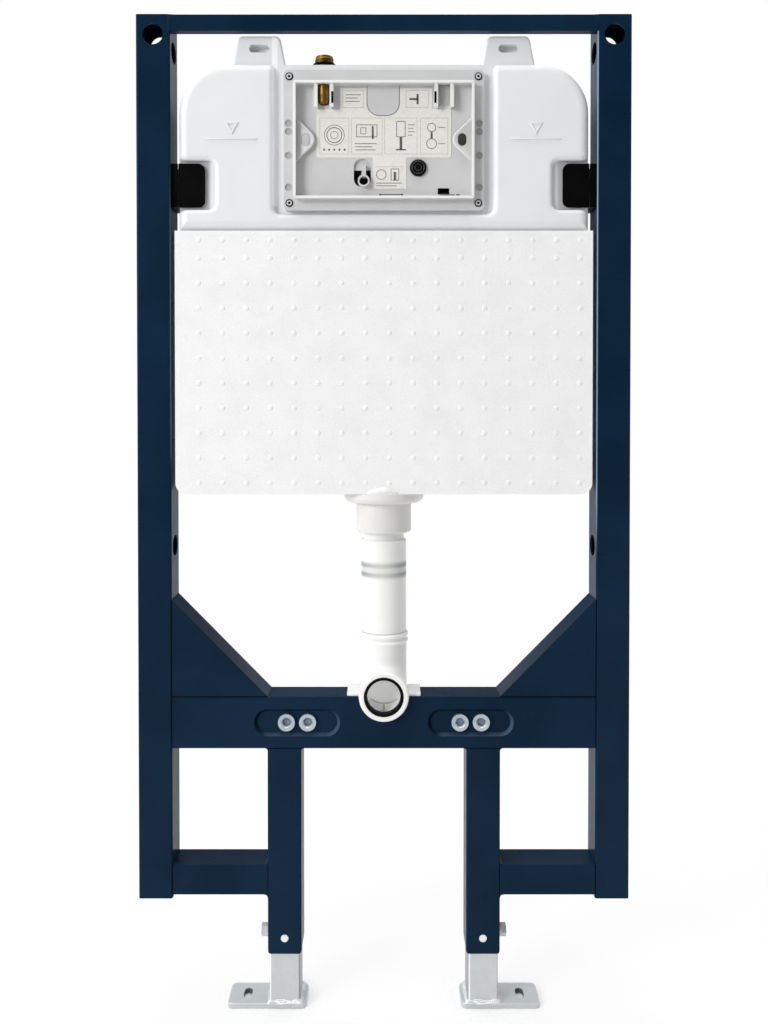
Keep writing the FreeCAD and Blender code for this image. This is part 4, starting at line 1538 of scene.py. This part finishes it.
    def build(self) -> None:
        """Makes all the fittings."""
        self.screws()
        self.plug_ring()
        self.dimples()
        self.lip_trim()
        self.lugs()
        self.gap_fronts()
        self.tongue_line()
        self.moulded_lines()


@dataclass
class WaterInlet:
    """Pipe thread of the brass stub and the fibre washer under it."""

    wardrobe: Wardrobe
    pitch: float = 0.0026
    tooth: float = 0.0011
    turns: int = 4
    washer_radius: float = 0.0142
    washer_height: float = 0.0014
    washer_level: float = 0.7978

    def build(self) -> None:
        """Winds the thread round the stub and lays the washer."""
        low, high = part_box("inlet_valve")
        middle = ((low.x + high.x) / 2, (low.y + high.y) / 2)
        start = high.z - self.turns * self.pitch - self.pitch
        thread = Bench.thread("inlet_thread", (high.x - low.x) / 2, self.tooth, self.pitch, self.turns,
                              (*middle, start), Axis.ALONG_Z)
        self.wardrobe.hang(thread, Slot.BRASS)
        washer = Bench.rod("inlet_fibre_washer", self.washer_radius, self.washer_height,
                           (*middle, self.washer_level), Axis.ALONG_Z, 48)
        Bench.soften(washer, 0.0003)
        self.wardrobe.hang(washer, Slot.RUBBER)


@dataclass
class BoltInserts:
    """Threads in the mouths of the four sleeves, and the dust caps behind them."""

    wardrobe: Wardrobe
    bolt_level: float = 0.015
    spacings: Pair = (0.230, 0.180)
    core_radius: float = 0.0051
    pitch: float = 0.00175
    tooth: float = 0.0008
    turns: int = 9
    behind_mouth: float = 0.0016
    cap_depth: float = 0.0046
    cap_half: float = 0.001
    cap_colour: Colour = (128, 142, 158)

    def cap(self, x: float, mouth: float) -> Piece:
        """Models the dust cap deep in the first sleeve, with a raised rim.

        Args:
            x: middle of the sleeve.
            mouth: front of the sleeve.

        Returns:
            The object.
        """
        piece = Bench.rod("sleeve_cap_1", self.core_radius * 0.98, 2 * self.cap_half,
                          (x, mouth + self.cap_depth + self.cap_half, self.bolt_level), Axis.ALONG_Y, 40)
        Bench.step_front(piece, [(self.core_radius * 0.35, -0.0009), (self.core_radius * 0.25, 0.0007)])
        Bench.soften(piece, 0.0002)
        return piece

    def build(self) -> None:
        """Winds the first thread, sets its cap and copies both into the other sleeves."""
        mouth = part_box("left_bolt_inserts")[0].y
        places = [way * spacing / 2 for spacing in self.spacings for _, way in SIDES]
        last = mouth + self.behind_mouth + self.turns * self.pitch
        first = Bench.thread("sleeve_thread_1", self.core_radius, self.tooth, self.pitch, self.turns,
                             (places[0], last, self.bolt_level), Axis.ALONG_Y)
        blue = ZincCoat(Slot.ZINC, self.cap_colour, 0.5, metal=0.3, dull=(104, 118, 136))
        pair = [(first, Slot.ZINC), (self.cap(places[0], mouth), blue)]
        inserts = list(pair)
        for count, x in enumerate(places[1:], start=2):
            for piece, finish in pair:
                copy = Bench.copy(piece, piece.name[:-1] + str(count), (x - places[0], 0, 0))
                inserts.append((copy, finish))
        for piece, finish in inserts:
            self.wardrobe.hang(piece, finish)


@dataclass
class Feet:
    """Lumpy weld beads where the tubes stand on the plates, dark walls of the slots, and the legs' pins."""

    wardrobe: Wardrobe
    bead_width: float = 0.0036
    bead_height: float = 0.0038
    bead_cuts: int = 9
    lump: float = 0.0011
    slot_size: Pair = (0.010, 0.018)
    slot_inset: float = 0.022
    slot_skin: float = 0.0003
    bead_skin: float = 0.0008
    clearance: float = 0.0006
    pin_level: float = -0.242
    pin_radius: float = 0.0048
    pin_length: float = 0.0024
    pin_depth: float = 0.0016

    def pin(self, side: str) -> None:
        """Sets the bright locking pin in the leg's hole.

        Args:
            side: left or right.
        """
        low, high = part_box(side + "_leg")
        piece = Bench.rod(side + "_leg_pin", self.pin_radius, self.pin_length,
                          ((low.x + high.x) / 2, low.y + self.pin_depth, self.pin_level), Axis.ALONG_Y)
        Bench.soften(piece, 0.0006, 3)
        self.wardrobe.hang(piece, ZincCoat(Slot.ZINC, (240, 241, 242), 0.5, metal=0.1, dull=(226, 228, 231)))

    def slot_wall(self, side: str, way: int) -> None:
        """Lines the slot of one plate with a dark grey wall.

        Args:
            side: left or right.
            way: the outer side, minus one or one.
        """
        low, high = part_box(side + "_foot_plate")
        x = (low.x if way < 0 else high.x) - way * self.slot_inset
        y = (low.y + high.y) / 2
        width, length = self.slot_size
        piece = Bench.block(side + "_slot_wall", (width, length, high.z - low.z - self.clearance),
                            (x, y, (low.z + high.z) / 2))
        Bench.bevel(piece, lambda spot: abs(abs(spot.x - x) - width / 2) < SAME_SPOT
                    and abs(abs(spot.y - y) - length / 2) < SAME_SPOT, width * 0.49, 6)
        Bench.pick(piece, lambda spot, normal: abs(normal.z) > SQUARE_ON)
        bpy.ops.mesh.delete(type="FACE")
        Bench.apply(piece, "SOLIDIFY", thickness=self.slot_skin, offset=-1.0)
        dark = ZincCoat(Slot.GALVANISED, (104, 108, 114), 0.6, metal=0.2, dull=(84, 88, 94))
        self.wardrobe.hang(piece, dark, side + "_foot")

    def bead(self, side: str) -> None:
        """Models the bead of one foot.

        Args:
            side: left or right.
        """
        low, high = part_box(side + "_foot_tube")
        middle = (low + high) / 2
        width = high.x - low.x
        size = width + 2 * self.bead_width
        piece = Bench.block(side + "_foot_weld", (size, size, self.bead_height),
                            (middle.x, middle.y, low.z + self.bead_height / 2))
        Bench.pick(piece, lambda spot, normal: normal.z > SQUARE_ON)
        shrink = (width - self.clearance) / size
        bpy.ops.transform.resize(value=(shrink, shrink, 1), center_override=(middle.x, middle.y, low.z))
        bpy.ops.mesh.delete(type="FACE")
        Bench.pick(piece, lambda spot, normal: normal.z < -SQUARE_ON)
        bpy.ops.mesh.delete(type="FACE")
        Bench.pick_all()
        bpy.ops.mesh.subdivide(number_cuts=self.bead_cuts)
        bpy.ops.transform.vertex_random(offset=self.lump, uniform=0.6, normal=0.4, seed=11)
        Bench.apply(piece, "SOLIDIFY", thickness=self.bead_skin, offset=-1.0)
        Bench.apply(piece, "SUBSURF", levels=1, render_levels=1)
        bright = ZincCoat(Slot.GALVANISED, (232, 234, 237), 0.3, metal=0.4, dull=(206, 209, 214))
        self.wardrobe.hang(piece, bright, side + "_foot", smooth=60.0)

    def build(self) -> None:
        """Welds both feet, lines their slots and pins the legs."""
        for side, way in SIDES:
            self.bead(side)
            self.slot_wall(side, way)
            self.pin(side)


@dataclass
class FlushElbow:
    """Mould seam on the inner wall of the elbow's bend: a line up to an arc across it."""

    wardrobe: Wardrobe
    bend_centre: Pair = (-0.034, 0.0835)
    bend_radius: float = 0.036
    bore: float = 0.0225
    seam_turn: float = math.radians(21)
    seam_half: float = math.radians(46)
    seam_start: float = -0.0340
    seam_steps: int = 6
    stroke: float = 0.0024
    sunk: float = 0.0004

    def on_wall(self, y: float) -> float:
        """Height of the bore's lower wall at a depth."""
        reach = max(0.0, y - self.bend_centre[0])
        return self.bend_centre[1] - math.sqrt((self.bend_radius + self.bore) ** 2 - reach ** 2)

    def arc(self) -> Piece:
        """Models the low part of a ring on the bend's wall.

        Returns:
            The object.
        """
        outward = Vector((0, math.sin(self.seam_turn), -math.cos(self.seam_turn)))
        centre = Vector((0, *self.bend_centre)) + outward * self.bend_radius
        Bench.clear()
        bpy.ops.mesh.primitive_torus_add(major_radius=self.bore - self.sunk, minor_radius=self.stroke / 2,
                                         major_segments=48, minor_segments=8, location=centre,
                                         rotation=(self.seam_turn - math.pi / 2, 0, 0))
        piece = Bench.settle("arc")
        Bench.pick_all()
        Bench.cut(centre + outward * self.bore * math.cos(self.seam_half), -outward)
        return piece

    def build(self) -> None:
        """Lays short blocks along the wall up to the arc across their end."""
        last = self.bend_centre[0] + (self.bend_radius + self.bore) * math.sin(self.seam_turn)
        pitch = (last - self.seam_start) / self.seam_steps
        pieces = [self.arc()]
        for step in range(self.seam_steps):
            y = self.seam_start + pitch * (step + 0.5)
            pieces.append(Bench.block("seam", (self.stroke, pitch * 1.3, self.stroke),
                                      (0.0, y, self.on_wall(y))))
        piece = Bench.join("elbow_seam", pieces)
        Bench.soften(piece, 0.0001)
        # The seam is darker than the pipe and glows half as much: painted shade along the step, inside the
        # elbow's painted light.
        self.wardrobe.hang(piece, FlushPlastic(Slot.PIPE, (214, 214, 212), 0.5, gloss=0.3, glow=0.11))


@dataclass
class WeldedFrame:
    """Painted weld fillets at legs, beam and rails, joint lines painted dark as shade, and the top rail's
    filled ends.
    """

    wardrobe: Wardrobe
    beam_fillet: float = 0.0028
    rail_fillet: float = 0.0045
    setback: float = 0.0012
    seam: float = 0.0011
    # Colour of the painted shade in the joints.
    seam_colour: Colour = (3, 9, 16)
    fill_width: float = 0.0064
    fill_depth: float = 0.0040
    fill_sunk: float = 0.00198
    fill_clear: float = 0.0004

    def fillet(self, name: str, corner: Pair, ways: tuple[int, int], size: float) -> None:
        """Models one hollow fillet.

        Args:
            name: the piece's name.
            corner: where the two tubes meet, across and up.
            ways: the open side of the corner, across and up.
            size: leg length of the fillet.
        """
        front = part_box("bolt_beam")[0].y
        x, z = (place + way * size / 2 for place, way in zip(corner, ways))
        piece = Bench.block(name, (size, -front - 2 * self.setback, size), (x, front / 2, z))
        far = Vector((corner[0] + ways[0] * size, front / 2, corner[1] + ways[1] * size))
        Bench.bevel(piece, lambda spot: (spot - far).length < size * 0.1, size * 0.97, 8, 0.06)
        self.wardrobe.hang(piece, Slot.PAINT, smooth=40.0)

    def seams(self) -> None:
        """Draws the joint lines between posts, gussets, beam and lower rails in a dark colour, as painted
        shade.
        """
        low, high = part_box("bolt_beam")
        shade = PowderCoat(Slot.PAINT, self.seam_colour, 0.6, gloss=0.02, deep=self.seam_colour)
        for side, way in SIDES:
            gusset_low, gusset_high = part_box(side + "_gusset")
            rail_low, rail_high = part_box(side + "_lower_rail")
            edge = low.x if way < 0 else high.x
            tall = gusset_high.z - low.z
            strips = [Bench.block("seam", (width, self.seam, height), (x, low.y + self.seam * 0.45, z))
                      for width, height, x, z in (
                          (gusset_high.x - gusset_low.x, self.seam, (gusset_low.x + gusset_high.x) / 2,
                           gusset_low.z),
                          (self.seam, tall - 2 * self.setback, edge, low.z + tall / 2),
                          (self.seam, rail_high.z - rail_low.z, edge, (rail_low.z + rail_high.z) / 2))]
            piece = Bench.join(side + "_seams", strips)
            Bench.soften(piece, 0.0002)
            self.wardrobe.hang(piece, shade)

    def corner_fills(self) -> None:
        """Grinds the top rail flush with the posts: a painted strip fills the groove at each end."""
        low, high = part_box("top_rail")
        for side, way in SIDES:
            strip = Bench.block(side + "_corner_fill",
                                (self.fill_width, self.fill_depth, high.z - low.z - self.fill_clear),
                                (low.x if way < 0 else high.x, low.y + self.fill_sunk, (low.z + high.z) / 2))
            Bench.soften(strip, 0.0003)
            self.wardrobe.hang(strip, Slot.PAINT)

    def build(self) -> None:
        """Draws the seams, and fills the corners of the top rail and of both legs."""
        self.seams()
        self.corner_fills()
        beam_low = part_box("bolt_beam")[0].z
        for side, way in SIDES:
            leg_low, leg_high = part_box(side + "_leg")
            rail_low, rail_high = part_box(side + "_lower_rail")
            inner, outer = (leg_high.x, leg_low.x) if way < 0 else (leg_low.x, leg_high.x)
            self.fillet(side + "_weld_beam_outer", (outer, beam_low), (way, -1), self.beam_fillet)
            self.fillet(side + "_weld_beam_inner", (inner, beam_low), (-way, -1), self.beam_fillet)
            self.fillet(side + "_weld_rail_top", (outer, rail_high.z), (way, 1), self.rail_fillet)
            self.fillet(side + "_weld_rail_low", (outer, rail_low.z), (way, -1), self.rail_fillet)


@dataclass
class Studio:
    """Floor, dark cloths, lamps, sky and camera."""

    eye: Point = (0.0002, -1.0937, 0.3831)
    dip_degrees: float = 0.826
    lens: float = 31.55
    frame_height: float = 1024.0
    centre_row: float = 423.7
    floor_size: float = 8.0
    floor_white: float = 0.84
    floor_colour: Colour = (245, 245, 245)
    shadow_reach: Pair = (0.45, 0.95)
    contact_reach: float = 0.03
    sky: float = 0.6
    cloth_colour: Colour = (40, 40, 42)
    front_flag: tuple[Point, Point] = ((4.0, 1.0, 3.1), (0.0, -2.6, 1.35))
    back_flag: tuple[Point, Point] = ((7.0, 1.0, 0.8), (0.0, 2.6, 0.85))
    lamps: tuple[tuple, ...] = (
        ("key", (-3.6, -2.95, 1.95), (0.0, 0.0, 0.35), 1.9, 150.0),
        ("top", (-0.2, 0.1, 2.7), (0.0, 0.1, 0.0), 1.8, 60.0),
    )

    def shown(self, graph: Graph) -> Socket:
        """Tells the rays that show the background: from the camera, from gloss and through glass.

        Args:
            graph: the graph of the floor or of the world.

        Returns:
            One for such rays, else nought.
        """
        path = [graph.node("ShaderNodeLightPath", None, None, name)
                for name in ("Is Camera Ray", "Is Glossy Ray", "Is Transmission Ray")]
        return path[0].at_least(path[1]).at_least(path[2])

    @staticmethod
    def sheet(name: str) -> tuple[Piece, Graph]:
        """Settles the plane that was just added and gives it an empty material.

        Args:
            name: the plane's name.

        Returns:
            The plane and the material's graph.
        """
        piece = Bench.settle(name)
        material = bpy.data.materials.new(name)
        material.use_nodes = True
        piece.data.materials.append(material)
        return piece, Graph(material.node_tree)

    def floor(self) -> None:
        """Lays a pale floor that keeps a light shadow and lets the eye see feet that reach below it."""
        Bench.clear()
        bpy.ops.mesh.primitive_plane_add(size=self.floor_size, location=(0, 0, CAD_BOX[0][2] - 0.0002))
        piece, graph = self.sheet("floor")
        matt = graph.node("ShaderNodeBsdfDiffuse", None, {"Color": linear(self.floor_colour)})
        clear = graph.node("ShaderNodeBsdfTransparent", None, None)
        across, along, _ = graph.split()
        near, far = self.shadow_reach
        away = graph.spread(across * across + along * along, near * near, far * far)
        open_sky = graph.node("ShaderNodeAmbientOcclusion", {"samples": 8},
                              {"Distance": self.contact_reach}, "AO")
        white = self.floor_white + (1 - self.floor_white) * away
        share = self.shown(graph) * white * open_sky * open_sky
        mix = graph.node("ShaderNodeMixShader", None, {0: share, 1: matt, 2: clear})
        graph.node("ShaderNodeOutputMaterial", None, {"Surface": mix})

    def flag(self, name: str, size: Point, centre: Point) -> None:
        """Hangs a dark cloth out of the picture, which keeps dark paint from washing out.

        Args:
            name: the cloth's name.
            size: its width, one, and its height.
            centre: its middle.
        """
        Bench.clear()
        bpy.ops.mesh.primitive_plane_add(size=1.0, location=centre, rotation=Axis.ALONG_Y.value)
        bpy.ops.transform.resize(value=size)
        piece, graph = self.sheet(name)
        cloth = graph.node("ShaderNodeBsdfDiffuse", None, {"Color": linear(self.cloth_colour)})
        graph.node("ShaderNodeOutputMaterial", None, {"Surface": cloth})
        piece.visible_camera = False

    def world(self) -> None:
        """Lights the room evenly, with a white background."""
        world = bpy.data.worlds.new("studio")
        bpy.context.scene.world = world
        world.use_nodes = True
        graph = Graph(world.node_tree)
        strength = self.sky + (1 - self.sky) * self.shown(graph)
        sky = graph.node("ShaderNodeBackground", None, {"Color": (1, 1, 1, 1), "Strength": strength})
        graph.node("ShaderNodeOutputWorld", None, {"Surface": sky})

    @staticmethod
    def lamp(name: str, place: Point, target: Point, size: float, power: float) -> None:
        """Hangs a soft square lamp.

        Args:
            name: the lamp's name.
            place: where it hangs.
            target: what it points at.
            size: its side.
            power: in watts.
        """
        Bench.clear()
        bpy.ops.object.light_add(type="AREA", location=place)
        lamp = bpy.context.object
        lamp.name = name
        lamp.data.size = size
        lamp.data.energy = power
        lamp.rotation_euler = (Vector(target) - Vector(place)).to_track_quat("-Z", "Y").to_euler()

    def camera(self) -> None:
        """Stands the camera where the photograph was taken from."""
        Bench.clear()
        bpy.ops.object.camera_add(location=self.eye, rotation=(math.radians(90 - self.dip_degrees), 0, 0))
        camera = bpy.context.object
        camera.data.lens = self.lens
        camera.data.sensor_width = 36.0
        camera.data.shift_y = (self.centre_row - self.frame_height / 2) / self.frame_height
        camera.data.clip_start = 0.01
        bpy.context.scene.camera = camera

    def build(self) -> None:
        """Sets the whole studio up."""
        self.floor()
        self.flag("front_flag", *self.front_flag)
        self.flag("back_flag", *self.back_flag)
        self.world()
        for row in self.lamps:
            self.lamp(*row)
        self.camera()
        bpy.context.scene.view_settings.view_transform = "Standard"


PAINT = {"slot": Slot.PAINT, "colour": (17, 40, 62), "roughness": 0.3, "gloss": 0.05}
TUBE = {"slot": Slot.GALVANISED, "colour": (206, 208, 209), "roughness": 0.44, "metal": 0.5,
        "dull": (190, 193, 195), "grain_share": 0.08}


def slot_finishes() -> tuple[Finish, ...]:
    """Finishes of the record's slots.

    Returns:
        One finish for each slot.
    """
    low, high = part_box("left_tank_bracket")
    return (
        PowderCoat(**PAINT),
        ZincCoat(Slot.ZINC, (206, 209, 214), 0.34, metal=0.7),
        ZincCoat(Slot.GALVANISED, (202, 207, 209), 0.44, metal=0.5, dull=(186, 191, 194), grain_share=0.08),
        # The cistern's finish paints shade round the brackets and light on the bay's left wall.
        BlowMoulding(Slot.CISTERN, (231, 232, 233), 0.46, gloss=0.35, shade=(225, 226, 227),
                     front=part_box("cistern_tank")[0].y, bracket_x=-high.x, bracket_span=(low.z, high.z)),
        BeadFoam(Slot.FOAM, (242, 242, 242), 0.75, gloss=0.2),
        Moulding(Slot.BOX, (206, 206, 206), 0.5, gloss=0.3, shade=(197, 197, 198)),
        TurnedBrass(Slot.BRASS, (129, 97, 42), 0.42, metal=0.85),
        Moulding(Slot.RUBBER, (9, 9, 9), 0.5, gloss=0.08, shade=(14, 14, 14)),
        Paper(Slot.CARD, (229, 228, 222), 0.8, gloss=0.15),
        Moulding(Slot.BRACKET, (6, 6, 6), 0.45, gloss=0.04, shade=(9, 9, 9)),
        FlushPlastic(Slot.PIPE, (243, 243, 241), 0.36, gloss=0.35, glow_depth=0.004),
    )


def node_finishes() -> dict[str, Finish]:
    """Finishes of the nodes that differ from their slot.

    Returns:
        A finish for each such node's name.
    """
    fitting = Moulding(Slot.PIPE, (226, 225, 222), 0.42, gloss=0.3, shade=(217, 216, 213))
    finger = Moulding(Slot.BOX, (238, 238, 237), 0.22, gloss=0.7, shade=(230, 230, 230))
    screw = ZincCoat(Slot.ZINC, (224, 226, 229), 0.5, metal=0.25, dull=(200, 203, 208))
    sleeve = ZincCoat(Slot.ZINC, (184, 195, 206), 0.34, metal=0.7, dull=(150, 160, 171))
    left_tube, right_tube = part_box("left_foot_tube"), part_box("right_foot_tube")
    return {
        # Painted light and shade: the beam's recess walls, the posts' inner front edges, and the foot tubes'
        # lit edges and shaded sides.
        "bolt_beam": PressedCoat(**PAINT),
        "left_post": EdgeCoat(**PAINT, line=(84, 98, 114), edge_x=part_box("left_post")[1].x,
                              rise=(0.3, 0.36), fall=(0.55, 0.7)),
        "right_post": EdgeCoat(**PAINT, edge_x=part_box("right_post")[0].x),
        "left_bolt_inserts": sleeve, "right_bolt_inserts": sleeve,
        "left_foot_tube": TubeZinc(**TUBE, line_x=left_tube[0].x + 0.0010, shade_x=left_tube[1].x - 0.0018),
        "right_foot_tube": TubeZinc(**TUBE, line_x=right_tube[0].x + 0.0022, shade_x=right_tube[0].x + 0.0012,
                                    shade_way=-1),
        "left_clamp_bolt": screw, "right_clamp_bolt": screw,
        "outlet_nut": fitting, "outlet_collar": fitting,
        "inlet_clip": finger, "spare_clip": finger,
    }


def main() -> None:
    """Builds the looks in order."""
    logging.basicConfig(level=logging.INFO, format="%(message)s")
    wardrobe = Wardrobe(slot_finishes())
    wardrobe.dress_nodes(node_finishes())
    for maker in (InsulationJacket, Cistern, ServiceBox, WaterInlet, BoltInserts, Feet, FlushElbow,
                  WeldedFrame, CardPrint):
        maker(wardrobe).build()
    Studio().build()


if __name__ == "__main__":
    main()
